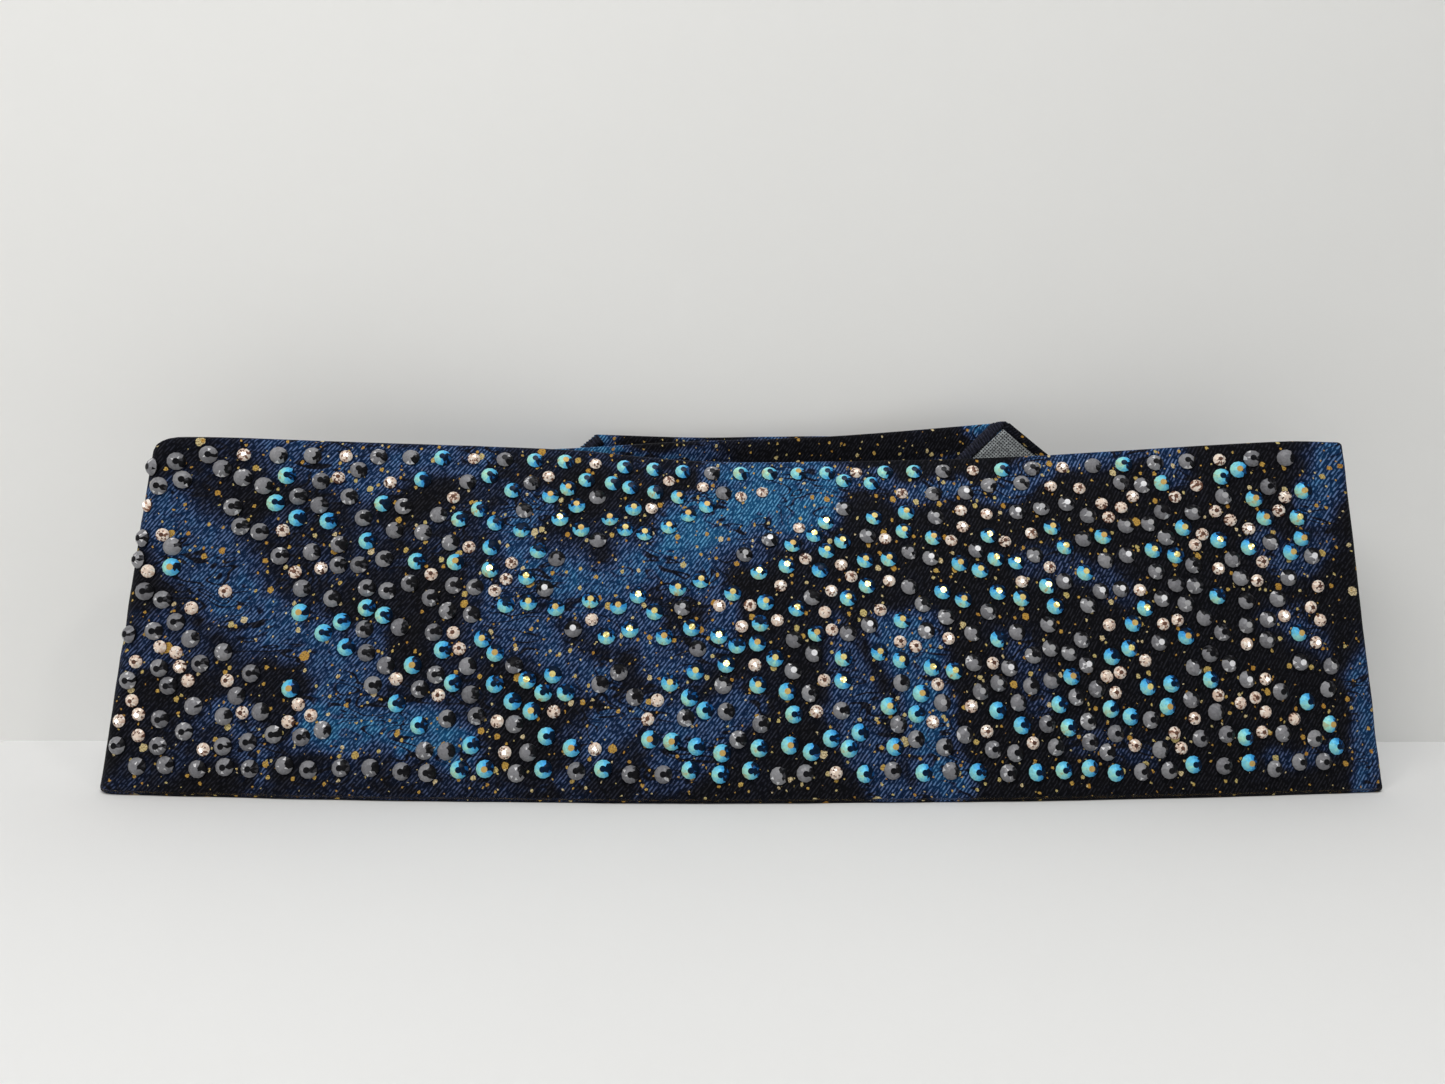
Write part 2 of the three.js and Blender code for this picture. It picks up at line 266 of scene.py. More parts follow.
def set_uv(obj, uv):
    """uv is one (u, v) pair to a vertex, in millimetres along the cloth, kept at a hundredth."""
    layer = obj.data.uv_layers.new(name="Cloth")
    loops = np.zeros(len(obj.data.loops), int)
    obj.data.loops.foreach_get("vertex_index", loops)
    layer.data.foreach_set("uv", (np.asarray(uv)[loops] / 100).astype(np.float32).ravel())


EDGE_STEPS = 6


def section(rows, height):
    """The outline of a cloth tube's section, up the front, over the top edge, down the back and round the
    foot: each place's h, its offset and its distance along the outline."""
    e = HALF_THICK / height
    up = np.linspace(e, 1 - e, rows)
    arc = np.linspace(0, math.pi, EDGE_STEPS + 2)[1:-1]
    h = np.concatenate([up, 1 - e + e * np.sin(arc), up[::-1], e - e * np.sin(arc)])
    o = np.concatenate([np.ones(rows), np.cos(arc), -np.ones(rows), -np.cos(arc)])
    step = np.hypot(np.diff(h) * height, np.diff(o) * HALF_THICK)
    return h, o, np.concatenate([[0], np.cumsum(step)])


def cloth_tube(name, middle, s_values, rows, seed, body):
    """A closed, flat tube of cloth with rounded edges, swept along s, and each point's s, h and offset."""
    h, o, along = section(rows, PANEL_HEIGHT)
    s = np.asarray(s_values, float)[:, None]
    out = facing(middle, s, np.clip(h, 0.005, 0.995)[None, :])
    offset = o[None, :] * (HALF_THICK + pucker(s, h[None, :], seed))
    points = middle(s, h[None, :]) + out * offset[..., None]
    n, m = len(s), len(h)
    index = np.arange(n * m).reshape(n, m)
    nxt = np.roll(index, -1, axis=1)
    quads = np.stack([index[:-1], index[1:], nxt[1:], nxt[:-1]], -1).reshape(-1, 4).tolist()
    back = lambda j: (2 * rows + EDGE_STEPS - 1) - j
    for ring, flip in ((index[0], True), (index[-1], False)):
        for j in range(rows - 1):
            quad = [int(k) for k in (ring[j], ring[j + 1], ring[back(j + 1)], ring[back(j)])]
            quads.append(quad[::-1] if flip else quad)
        top = [int(ring[j]) for j in range(rows - 1, rows + EDGE_STEPS + 1)]
        low = [int(ring[j % m]) for j in range(2 * rows + EDGE_STEPS - 1, m + 1)]
        quads.append(top[::-1] if flip else top)
        quads.append(low[::-1] if flip else low)
    obj = mesh_object(name, points.reshape(-1, 3), quads, body, PRINT, "printed_cotton")
    uv = np.stack(np.broadcast_arrays(s, along[None, :]), -1)
    set_uv(obj, uv.reshape(-1, 2))
    return obj, *(np.broadcast_to(values, (n, m)).ravel() for values in (s, h, o))


# ---- the print ------------------------------
# Brush strokes of blue on the front panel: points as (s, z) in millimetres, half width, strength.
BLUE_STROKES = [
    # the bright swirl over the middle, its left arm and its right arm
    ([(-20, 57), (-8, 62), (4, 66), (18, 69)], 6.5, 1.0),
    ([(-8, 75), (8, 74), (20, 73)], 4.5, 0.85),
    ([(-14, 54), (-24, 53), (-34, 51), (-43, 47), (-52, 51), (-58, 57)], 6.0, 0.78),
    ([(-14, 48), (-9, 41), (-16, 33)], 4.5, 0.58),
    ([(26, 71), (38, 69), (50, 68), (62, 69), (70, 72), (82, 72), (94, 76)], 3.4, 0.62),
    # the left end: down from the top edge, then across to the foot
    ([(-115, 76), (-109, 72), (-99, 70), (-90, 69), (-80, 72), (-70, 74)], 5.0, 0.60),
    ([(-136, 62), (-131, 56), (-123, 47), (-115, 40), (-105, 34), (-96, 28), (-93, 20)], 6.0, 0.68),
    ([(-89, 34), (-88, 20)], 4.0, 0.55),
    ([(-95, 15), (-86, 14), (-77, 13), (-70, 12)], 5.0, 0.90),
    ([(-118, 18), (-111, 13), (-107, 3)], 4.2, 0.58),
    ([(-139, 34), (-128, 34)], 4.5, 0.42),
    # below the bright swirl
    ([(-63, 40), (-50, 33), (-38, 28)], 5.0, 0.60),
    ([(-35, 43), (-27, 35), (-20, 28)], 4.2, 0.58),
    ([(-38, 16), (-28, 18), (-18, 15), (-8, 18)], 5.5, 0.62),
    ([(-23, 9), (-18, 14)], 4.0, 0.60),
    ([(-42, 6), (-40, 13)], 3.0, 0.40),
    # two arms that run down to the foot, right of the middle
    ([(17, 36), (20, 24), (23, 13), (28, 1)], 4.5, 0.55),
    ([(33, 36), (35, 23), (37, 14), (41, 4)], 5.2, 0.80),
    # wisps over the right end
    ([(58, 33), (63, 24)], 4.0, 0.42),
    ([(66, 54), (76, 53), (84, 47)], 3.6, 0.40),
    ([(72, 12), (84, 12)], 3.2, 0.38),
    ([(93, 76), (103, 74)], 3.6, 0.55),
    ([(120, 55), (128, 50), (134, 54)], 3.4, 0.48),
    ([(133, 63), (137, 70), (140, 77)], 4.2, 0.72),
    ([(126, 36), (132, 32)], 3.4, 0.42),
    ([(118, 8), (126, 11)], 3.4, 0.45),
    ([(139, 3), (142, 14), (143, 26)], 4.0, 0.72),
]

# Places that the crystals leave free: points, half width.
BARE_STROKES = [
    ([(-42, 49), (-30, 51), (-20, 53), (-10, 57)], 5.4),
    ([(-14, 59), (-2, 63), (10, 66), (18, 69)], 4.4),
    ([(-136, 62), (-128, 55), (-118, 47), (-113, 43)], 4.6),
    ([(-128, 66), (-127, 44)], 3.6),
    ([(-121, 37), (-108, 33), (-98, 28), (-94, 22), (-88, 14), (-80, 12)], 5.2),
    ([(-58, 36), (-46, 32), (-38, 30)], 4.0),
    ([(-38, 17), (-30, 15)], 4.4),
    ([(-32, 32), (-22, 29)], 2.8),
    ([(24, 32), (26, 14)], 2.8),
    ([(22, 68), (34, 66)], 2.6),
    ([(118, 30), (124, 27)], 2.4),
]


def stroke_distance(x, z, points):
    """The distance from (x, z) to a line through the points."""
    best = np.full(np.shape(x), 1e9)
    for (ax, az), (bx, bz) in zip(points, points[1:]):
        dx, dz = bx - ax, bz - az
        t = np.clip(((x - ax) * dx + (z - az) * dz) / (dx * dx + dz * dz), 0, 1)
        best = np.minimum(best, np.hypot(x - ax - t * dx, z - az - t * dz))
    return best


def blue_amount(x, z):
    """How blue the front's print is, from 0 to 1: strokes with edges torn by noise, over a faint wash."""
    wx = x + 4 * layered_noise(x / 13, z / 13, 21, 3)
    wz = z + 4 * layered_noise(x / 13, z / 13, 31, 3)
    total = np.zeros(np.shape(x))
    for points, half, strength in BLUE_STROKES:
        d = stroke_distance(wx, wz, points) / half
        total = np.maximum(total, strength * smooth(1.25 - 0.62 * d))
    wash = 0.30 * smooth(0.5 + 1.1 * layered_noise(x / 17, z / 11, 51, 2)) * smooth((70 - x) / 120)
    return np.clip(np.maximum(total, wash), 0, 1)


def bare_amount(x, z):
    total = np.zeros(np.shape(x))
    for points, half in BARE_STROKES:
        total = np.maximum(total, smooth(1.6 - stroke_distance(x, z, points) / half))
    return total


PRINT_RETURN = 24  # length over which a wing's print leaves the front's behind


def wing_blue(x, z, seed, fold):
    """The wings' print: blobs of the same size, which go on from the front's round the fold."""
    blobs = layered_noise(x / 26, z / 17, seed, 3)
    own = np.clip(0.95 * smooth(blobs * 1.5 + 0.28), 0, 1)
    radius, root = (BEND_RADIUS, ROOT_LEFT) if fold < 0 else (CREASE_RADIUS, ROOT_RIGHT)
    at_fold = blue_amount(np.full(np.shape(x), root + fold * math.pi * radius), z)
    return mix(at_fold, own, smooth((root - x) * fold / PRINT_RETURN))


# ---- materials ------------------------------
def rgb(colour):
    return (*colour, 1)


class Nodes:
    """A short way to write a node tree."""

    def __init__(self, name):
        self.material = bpy.data.materials.new(name)
        self.material.use_nodes = True
        self.tree = self.material.node_tree
        self.shader = self.tree.nodes["Principled BSDF"]

    def add(self, kind, inputs=None, **settings):
        node = self.tree.nodes.new("ShaderNode" + kind)
        for key, value in settings.items():
            setattr(node, key, value)
        for key, value in (inputs or {}).items():
            self.put(value, node.inputs[key])
        return node

    def put(self, value, socket):
        if isinstance(value, bpy.types.NodeSocket):
            self.tree.links.new(value, socket)
        else:
            socket.default_value = value

    def math(self, operation, *values):
        node = self.add("Math", operation=operation)
        for value, socket in zip(values, node.inputs):
            self.put(value, socket)
        return node.outputs[0]

    def times(self, *values):
        product = values[0]
        for value in values[1:]:
            product = self.math("MULTIPLY", product, value)
        return product

    def along(self, vector, direction):
        """The vector's length along a direction."""
        node = self.add("VectorMath", {0: vector, 1: direction}, operation="DOT_PRODUCT")
        return node.outputs["Value"]

    def wave(self, place, pitch):
        """A wave from 0 to 1 that repeats every pitch."""
        sine = self.math("SINE", self.times(place, 2 * math.pi / pitch))
        return self.math("MULTIPLY_ADD", sine, 0.5, 0.5)

    def blend(self, factor, a, b):
        node = self.add("Mix", data_type="RGBA")
        for name, value in (("Factor", factor), ("A", a), ("B", b)):
            self.put(value, node.inputs[name])
        return node.outputs["Result"]

    def ramp(self, value, stops):
        """A colour ramp. A stop is (place, colour)."""
        node = self.add("ValToRGB", {"Fac": value})
        elements = node.color_ramp.elements
        while len(elements) < len(stops):
            elements.new(0.5)
        for element, (place, colour) in zip(elements, stops):
            element.position = place
            element.color = rgb(colour)
        return node.outputs["Color"]

    def step(self, value, low, high):
        """From 0 at low to 1 at high, smoothly."""
        node = self.add("MapRange", {"Value": value, "From Min": low, "From Max": high},
                        interpolation_type="SMOOTHSTEP")
        return node.outputs["Result"]

    def noise(self, vector, scale, detail=3.0, roughness=0.55, distortion=0.0):
        node = self.add("TexNoise", {"Vector": vector, "Scale": scale, "Detail": detail,
                                     "Roughness": roughness, "Distortion": distortion})
        return node.outputs["Fac"]

    def position(self):
        return self.add("NewGeometry").outputs["Position"]

    def bump(self, height, strength, depth_mm):
        node = self.add("Bump", {"Height": height, "Strength": strength, "Distance": depth_mm * MM})
        return node.outputs["Normal"]

    def finish(self, **inputs):
        for key, value in inputs.items():
            self.put(value, self.shader.inputs[key.replace("_", " ")])
        return self.material


UV_MM = 0.01  # a millimetre of cloth in its coordinates
TWILL_PITCH = 0.72  # between the twill's lines, in millimetres
TWILL_ANGLE = 52  # of the lines from the band's length, in degrees
DASH_LENGTH = 1.1
# Gold chips: one to this many millimetres, size, share of empty cells.
CHIPS = [(16.0, 1.10, 0.50), (7.4, 0.68, 0.15), (4.5, 0.42, 0.30), (2.8, 0.23, 0.45)]


def twill(n, uv):
    """Short dashes along slanted lines, from 0 to 1."""
    slant = math.radians(TWILL_ANGLE)
    p = n.along(uv, (math.cos(slant), math.sin(slant), 0))
    q = n.along(uv, (-math.sin(slant), math.cos(slant), 0))
    lines = n.step(n.wave(q, TWILL_PITCH * UV_MM), 0.30, 0.85)
    cells = n.add("CombineXYZ", {0: n.times(p, 1 / (DASH_LENGTH * UV_MM)),
                                 1: n.times(q, 1 / (TWILL_PITCH * UV_MM))})
    return n.times(lines, n.step(n.noise(cells.outputs[0], 1.15, 1.0, 0.4), 0.40, 0.58))


TEAR_SIZE = 0.62  # of the notches in a chip's edge, in millimetres
TEAR_REACH = 0.75 * UV_MM  # how far a chip's edge is moved by them
GRAIN_SIZE = 0.30  # of the dark grain in a chip, in millimetres


def gold_chips(n, uv, colour):
    """Gold chips with torn edges, of four sizes, over a colour."""
    tear = n.add("TexNoise", {"Vector": uv, "Scale": 1 / (TEAR_SIZE * UV_MM), "Detail": 2.0})
    reach = n.add("VectorMath", {0: tear.outputs["Color"], 1: (TEAR_REACH, TEAR_REACH, 0)},
                  operation="MULTIPLY")
    torn = n.add("VectorMath", {0: uv, 1: reach.outputs[0]}, operation="ADD").outputs[0]
    grain = n.noise(uv, 1 / (GRAIN_SIZE * UV_MM), 2, 0.6)
    for spacing, radius, empty in CHIPS:
        cell = n.add("TexVoronoi", {"Vector": torn, "Scale": 1 / (spacing * UV_MM), "Randomness": 1.0},
                     voronoi_dimensions="2D")
        own = n.add("SeparateColor", {"Color": cell.outputs["Color"]}).outputs
        reach = n.times(n.math("MULTIPLY_ADD", own[1], 0.75, 0.35), radius / spacing)
        inside = n.math("LESS_THAN", cell.outputs["Distance"], reach)
        chip = n.times(inside, n.math("GREATER_THAN", own[0], empty))
        gold = n.ramp(own[2], [(0.0, (0.50, 0.25, 0.040)), (0.4, (0.60, 0.38, 0.085)),
                               (0.7, (0.62, 0.52, 0.20)), (1.0, (0.74, 0.62, 0.38))])
        gold = n.blend(n.times(n.step(grain, 0.56, 0.40), 0.75), gold, rgb((0.16, 0.085, 0.02)))
        colour = n.blend(n.times(chip, 0.92), colour, gold)
    return colour


TEARING_SCALE, FRAYING_SCALE = 24, 90  # of the coarse and the fine noise in the paint's edge
FLOW_SCALE = 14  # of the slow noise whose level lines are the veins
VEIN_LEVELS = 5.0
VEIN_DEPTH = 0.78  # how much of the blue a vein takes away


def printed_cotton():
    n = Nodes("printed_cotton")
    uv = n.add("UVMap", uv_map="Cloth").outputs["UV"]
    blue = n.add("Attribute", attribute_name="blue").outputs["Fac"]
    # The edge of the paint is torn at two sizes, and flows along the swirl.
    torn = n.noise(uv, TEARING_SCALE, 3, 0.5, 0.5)
    fine = n.noise(uv, FRAYING_SCALE, 2, 0.5)
    swing = n.times(n.math("SUBTRACT", torn, 0.5), n.math("MULTIPLY_ADD", blue, 0.5, 0.28))
    amount = n.math("ADD", blue, swing)
    amount = n.math("ADD", amount, n.times(n.math("SUBTRACT", fine, 0.5), 0.12))
    # Dark veins of marbling: the level lines of a slow noise, where another noise lets them through.
    stretched = n.add("Mapping", {"Vector": uv, "Rotation": (0, 0, 0.5), "Scale": (0.6, 1.5, 1)}).outputs[0]
    flow = n.noise(stretched, FLOW_SCALE, 1, 0.4, 1.4)
    level = n.math("ABSOLUTE", n.math("SUBTRACT", n.math("FRACT", n.times(flow, VEIN_LEVELS)), 0.5))
    vein = n.times(n.step(level, 0.20, 0.04), n.step(n.noise(uv, 8, 2, 0.5), 0.44, 0.56))
    amount = n.times(amount, n.math("SUBTRACT", 1.0, n.times(vein, VEIN_DEPTH)))
    ground = n.ramp(amount, [(0.0, (0.0035, 0.0037, 0.0050)), (0.22, (0.0036, 0.0045, 0.0085)),
                             (0.38, (0.0036, 0.0078, 0.021)), (0.58, (0.0040, 0.015, 0.048)),
                             (0.80, (0.0050, 0.030, 0.088)), (1.0, (0.007, 0.060, 0.150))])
    dash = twill(n, uv)
    thread_colour = n.ramp(amount, [(0.0, (0.018, 0.018, 0.023)), (0.25, (0.026, 0.029, 0.046)),
                                    (0.42, (0.080, 0.110, 0.225)), (0.62, (0.125, 0.205, 0.400)),
                                    (0.85, (0.105, 0.270, 0.510)), (1.0, (0.130, 0.37, 0.610))])
    colour = gold_chips(n, uv, n.blend(n.times(dash, 0.85), ground, thread_colour))
    return n.finish(Base_Color=colour, Roughness=n.math("MULTIPLY_ADD", torn, 0.15, 0.72),
                    Normal=n.bump(dash, 0.4, 0.10), Sheen_Weight=0.015, Sheen_Roughness=0.5,
                    Specular_IOR_Level=0.04)


YARN_ANGLES = (48, 138)  # of a plain weave's two sets of yarns from the upright, in degrees


def woven(name, yarn, gap, pitch_mm):
    """A plain weave seen by its yarns, which run on the slant of the band: pale yarns over dark gaps."""
    n = Nodes(name)
    place = n.position()
    wander = n.noise(place, 700, 2, 0.5)
    yarns = []
    for angle in YARN_ANGLES:
        turn = math.radians(angle)
        across = n.along(place, (math.cos(turn), 0, math.sin(turn)))
        across = n.math("ADD", across, n.times(wander, 0.25 * pitch_mm * MM))
        yarns.append(n.step(n.wave(across, pitch_mm * MM), 0.35, 0.9))
    height = n.math("MAXIMUM", *yarns)
    uneven = n.step(n.noise(place, 1500, 2, 0.6), 0.35, 0.7)
    shown = n.times(height, n.math("MULTIPLY_ADD", uneven, 0.6, 0.4))
    return n.finish(Base_Color=n.blend(shown, rgb(gap), rgb(yarn)), Roughness=0.9,
                    Normal=n.bump(height, 0.6, 0.15))


def spun(name, light, dark, scale=2200.0, roughness=0.85):
    """Thread or pile: a fine grain of two tones."""
    n = Nodes(name)
    place = n.position()
    grain = n.noise(place, scale, 3, 0.65)
    patch = n.noise(place, 260, 2, 0.5)
    tone = n.math("MULTIPLY_ADD", n.step(grain, 0.35, 0.68), 0.75, n.times(patch, 0.25))
    return n.finish(Base_Color=n.blend(tone, rgb(dark), rgb(light)), Roughness=roughness,
                    Normal=n.bump(grain, 0.5, 0.15))


PAINTED_GLINT_TINTS = (0.980, 0.990)  # a facet glows as a painted glint from the first tint on, fully from the second
PAINTED_GLINT_STRENGTH = 3.5  # strength of a painted glint's own glow


def gem(name, stops, metallic, roughness):
    """A foil-backed facet, coloured through a ramp by its own tint from 0 to 1, which holds its painted
    reflection and painted shade, a little cloudy. The few facets near tint 1 are painted glints: they glow
    by themselves, though they are no lamp."""
    n = Nodes(name)
    reflection_tint = n.add("Attribute", attribute_name="reflection_tint").outputs["Fac"]
    cloud = n.step(n.noise(n.position(), 1800, 2, 0.5), 0.50, 0.75)
    colour = n.blend(n.times(cloud, 0.22), n.ramp(reflection_tint, stops), rgb((0.02, 0.02, 0.025)))
    return n.finish(Base_Color=colour, Metallic=metallic, Roughness=roughness, Specular_IOR_Level=0.10,
                    Emission_Color=colour, Emission_Strength=n.times(n.step(reflection_tint, *PAINTED_GLINT_TINTS), PAINTED_GLINT_STRENGTH))


PRINT = printed_cotton()


# ---- cloth ------------------------------
# How far from their fold lines bend_at reaches for the wings and the tab, and how blue the panel's inside
# is.
FOLD_REACH = 9  # how far from a fold, along the wing, bend_at takes its second point
TAB_REACH = 3
INSIDE_BLUE = 0.35  # how much of the front's blue the panel's inside has


def stepped(a, b, step=2.1):
    return np.linspace(a, b, int(abs(b - a) / step) + 1)


def declare_sheet(obj, nodes):
    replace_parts(obj, nodes + "_cotton_sleeve")


def front_cloth():
    left, right = (np.linspace(0.0, math.pi, 12)[1:] * r for r in (BEND_RADIUS, CREASE_RADIUS))
    s = np.concatenate([(ROOT_LEFT - left)[::-1], stepped(ROOT_LEFT, ROOT_RIGHT, 1.9), ROOT_RIGHT + right])
    obj, sv, hv, ov = cloth_tube("front_cloth", front_middle, s, 40, 1, "front_panel")
    shown = np.where(ov > -0.5, 1, INSIDE_BLUE)
    set_point_values(obj, "blue", blue_amount(sv, hv * PANEL_HEIGHT) * shown)
    declare_sheet(obj, "front")


def bend_at(obj, middle, s_fold, reach):
    """Works out where a fold line lies on the middle surface and a point reach along from it, which nothing
    uses, and bakes the cloth's place into its mesh.
    """
    start, end = middle(s_fold, 0.5), middle(s_fold + reach, 0.5)
    line = middle(s_fold, 1.0) - middle(s_fold, 0.0)
    line /= np.linalg.norm(line)
    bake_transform(obj)


def wing_cloth(nodes, middle, stations, seed, fold):
    """The cloth of a wing or the tab, through the stations (s): fold is the side of its fold, -1 or 1."""
    parts = [stepped(a, b)[1:] for a, b in zip(stations, stations[1:])]
    s = np.concatenate([[stations[0]], *parts])
    obj, sv, hv, _ = cloth_tube(nodes + "_cloth", middle, s, 36, seed, None)
    set_point_values(obj, "blue", wing_blue(sv, hv * PANEL_HEIGHT, 60 + seed, fold))
    declare_sheet(obj, nodes)
    return obj


front_cloth()
inner = wing_cloth("inner_wing", inner_middle, (ROOT_LEFT, INNER_CLIP_X, INNER_WING_END), 2, -1)
outer = wing_cloth("outer_wing", outer_middle, (TAB_ROOT_X, ROOT_RIGHT), 3, 1)
tab = wing_cloth("tab", outer_middle, (OUTER_WING_END, OUTER_CLIP_X, TAB_ROOT_X), 3, 1)
bend_at(inner, inner_middle, ROOT_LEFT, FOLD_REACH)
bend_at(outer, outer_middle, ROOT_RIGHT, -FOLD_REACH)
bend_at(tab, outer_middle, TAB_ROOT_X, -TAB_REACH)


# ---- thread, tapes and the turned corner ------------------------------
OFF_AXIS = (0.31, 0.83, 0.46)  # a direction along which no thread runs


def tube_faces(first, rings, m):
    """The faces of a closed tube whose rings of m points start at point `first`, with its two ends."""
    faces = []
    for k in range(rings - 1):
        for c in range(m):
            a, b = first + k * m + c, first + k * m + (c + 1) % m
            faces.append([a, b, b + m, a + m])
    faces.append([first + c for c in range(m)][::-1])
    faces.append([first + (rings - 1) * m + c for c in range(m)])
    return faces


def tube_mesh(paths, radius, sides=4):
    """Points and faces of a closed thin tube along each path."""
    points, faces = [], []
    for path in paths:
        path = np.asarray(path, float)
        first, count = len(points), len(path)
        for k, place in enumerate(path):
            ahead = path[min(k + 1, count - 1)] - path[max(k - 1, 0)]
            ahead /= np.linalg.norm(ahead)
            side = np.cross(ahead, OFF_AXIS)
            side /= np.linalg.norm(side)
            up = np.cross(ahead, side)
            for c in range(sides):
                turn = 2 * math.pi * c / sides
                points.append(place + radius * (side * math.cos(turn) + up * math.sin(turn)))
        faces += tube_faces(first, count, sides)
    return points, faces


def along_path(corners, step):
    """Places every step along a line through (s, z) corners, with the direction of travel at each."""
    places, headings = [], []
    for a, b in zip(corners, corners[1:]):
        a, b = np.array(a, float), np.array(b, float)
        length = np.linalg.norm(b - a)
        count = max(1, round(length / step))
        for k in range(count):
            places.append(a + (b - a) * k / count)
            headings.append((b - a) / length)
    return np.array(places), np.array(headings)


STITCH = 2.8  # one stitch and the gap after it
STITCH_GAP = 0.7
THREAD_RADIUS = 0.17
STITCH_ARC = ((0, -0.25), (0.12, 0.12), (0.5, 0.20), (0.88, 0.12), (1, -0.25))  # part of its length, lift


def stitches(name, corners, surface, body, replaced=None):
    """A line of stitches through (s, z) corners: each thread rises from the cloth and goes back into it."""
    places, headings = along_path(corners, STITCH)
    paths = []
    for place, heading in zip(places, headings):
        run = heading * (STITCH - STITCH_GAP)
        paths.append([surface(*(place + run * part), lift)[0] for part, lift in STITCH_ARC])
    obj = mesh_object(name, *tube_mesh(paths, THREAD_RADIUS, 3), body, THREAD, "thread")
    if replaced:
        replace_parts(obj, replaced)


OVERLOCK_PITCH = 0.85
OVERLOCK_RADIUS = 0.24
OVERLOCK_FACE = [(1.0, 0.10), (0.55, 0.34), (0.12, 0.28)]  # a thread over one face: share of the width, lift
BED_LIFT = 0.16


def overlock(name, corners, inward, width, surface, body, replaced=None, both_sides=True):
    """Thread wrapped over an edge through (s, z) corners, on a bed of thread. inward is which way the cloth
    lies from the line of travel: 1 to its left, -1 to its right."""
    rng = np.random.default_rng(SEED + len(name))
    places, headings = along_path(corners, OVERLOCK_PITCH)
    wrap = [(w, lift, 1) for w, lift in OVERLOCK_FACE]
    if both_sides:
        wrap += [(-0.10, -HALF_THICK, 1)] + [(w, lift, -1) for w, lift in OVERLOCK_FACE[::-1]]
    else:
        wrap += [(-0.08, 0.05, 1)]
    paths, bed = [], []
    for place, heading in zip(places, headings):
        left = np.array([-heading[1], heading[0]]) * inward * width
        slant = heading * OVERLOCK_PITCH * rng.uniform(0.4, 1.5)
        path = []
        for k, (w, lift, side) in enumerate(wrap):
            s, z = place + left * w * rng.uniform(0.9, 1.1) + slant * k / len(wrap)
            path.append(surface(s, z, lift + rng.uniform(0, 0.12), side)[0])
        paths.append(path)
        bed += [surface(*(place + left * w), BED_LIFT if lift > 0.05 else lift, side)[0]
                for w, lift, side in wrap]
    points, faces = tube_mesh(paths, OVERLOCK_RADIUS)
    faces += tube_faces(len(points), len(paths), len(wrap))
    points += bed
    obj = mesh_object(name, points, faces, body, OVERLOCK_THREAD, "thread")
    if replaced:
        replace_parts(obj, replaced)


def inner_at(s, z, lift, side=1):
    return wing_surface(inner_middle, inner_span, s, z, side, lift)


def outer_at(s, z, lift, side=1):
    return wing_surface(outer_middle, outer_span, s, z, side, lift)


def outer_back_at(s, z, lift):
    return outer_at(s, z, lift, -1)


def front_inside_at(s, z, lift):
    return wing_surface(front_middle, lambda s: (0, PANEL_HEIGHT, PANEL_HEIGHT), s, z, -1, lift)


def end_corners(span, clip_x, end):
    """The corners of a wing's free end, from the top edge round to the foot."""
    low, high, _ = span(end)
    return [(clip_x, float(span(clip_x)[1])), (end, float(high)), (end, float(low)), (clip_x, 0.0)]


OVERLOCK_WIDTH = 3.2
SEAM_Z = 4.0  # the closing seam's height over the foot
SEAM_CLEAR = 14  # how far from a fold the seam's stitches start
SEAM_LEFT, SEAM_RIGHT = ROOT_LEFT + SEAM_CLEAR, ROOT_RIGHT - SEAM_CLEAR
THREAD = spun("thread", (0.060, 0.070, 0.130), (0.010, 0.012, 0.026), 2500)
OVERLOCK_THREAD = spun("overlock_thread", (0.024, 0.027, 0.055), (0.004, 0.005, 0.011), 1800, 0.95)

overlock("inner_wing_end_stitches", end_corners(inner_span, INNER_CLIP_X, INNER_WING_END)[1:], -1,
         OVERLOCK_WIDTH, inner_at, "inner_wing", "inner_wing_end_overlock")
overlock("tab_end_stitches", end_corners(outer_span, OUTER_CLIP_X, OUTER_WING_END), 1,
         OVERLOCK_WIDTH, outer_at, "closing_tab", "tab_end_overlock")
for part, s0, s1, surface, body in (
    ("front", SEAM_LEFT, SEAM_RIGHT, front_inside_at, "front_panel"),
    ("inner", SEAM_LEFT, INNER_CLIP_X - 2, inner_at, "inner_wing"),
    ("outer", TAB_ROOT_X + 2, SEAM_RIGHT, outer_back_at, "outer_wing"),
):
    seam = body.removesuffix("_panel") + "_closing_seam"
    stitches(part + "_closing_stitches", [(s0, SEAM_Z), (s1, SEAM_Z)], surface, body, seam)


PATCH_HALF_HEIGHT = 0.31  # share of the wing's height, each way from its middle
WING_HEIGHT = 80.0
PATCH_LOW = (0.5 - PATCH_HALF_HEIGHT) * WING_HEIGHT
PATCH_HIGH = (0.5 + PATCH_HALF_HEIGHT) * WING_HEIGHT
LOOP_SPAN = (OUTER_CLIP_X - 8, INNER_CLIP_X - 6)
HOOK_SPAN = (TAB_ROOT_X + 3, INNER_CLIP_X - 8)
TAB_HOOK_SPAN = (OUTER_CLIP_X - 6, TAB_ROOT_X - 4)
HOOK_PITCH, HOOK_RADIUS = 2.3, 0.11
HOOK_CURVE = ((0, 0), (0.45, 0), (0.62, 0.6), (0.42, 1))  # how high over its foot, part of its lean
HOOK_BASE = 0.30  # thickness of the hook tape under its hooks
TAPE_EDGE = 0.8  # share of a tape's thickness that is left at its edge
TAPE_SUNK = 0.15  # how far a tape's back lies in the cloth
FRAME_INSET = 1.5  # from a tape's edge to the line of stitches round it


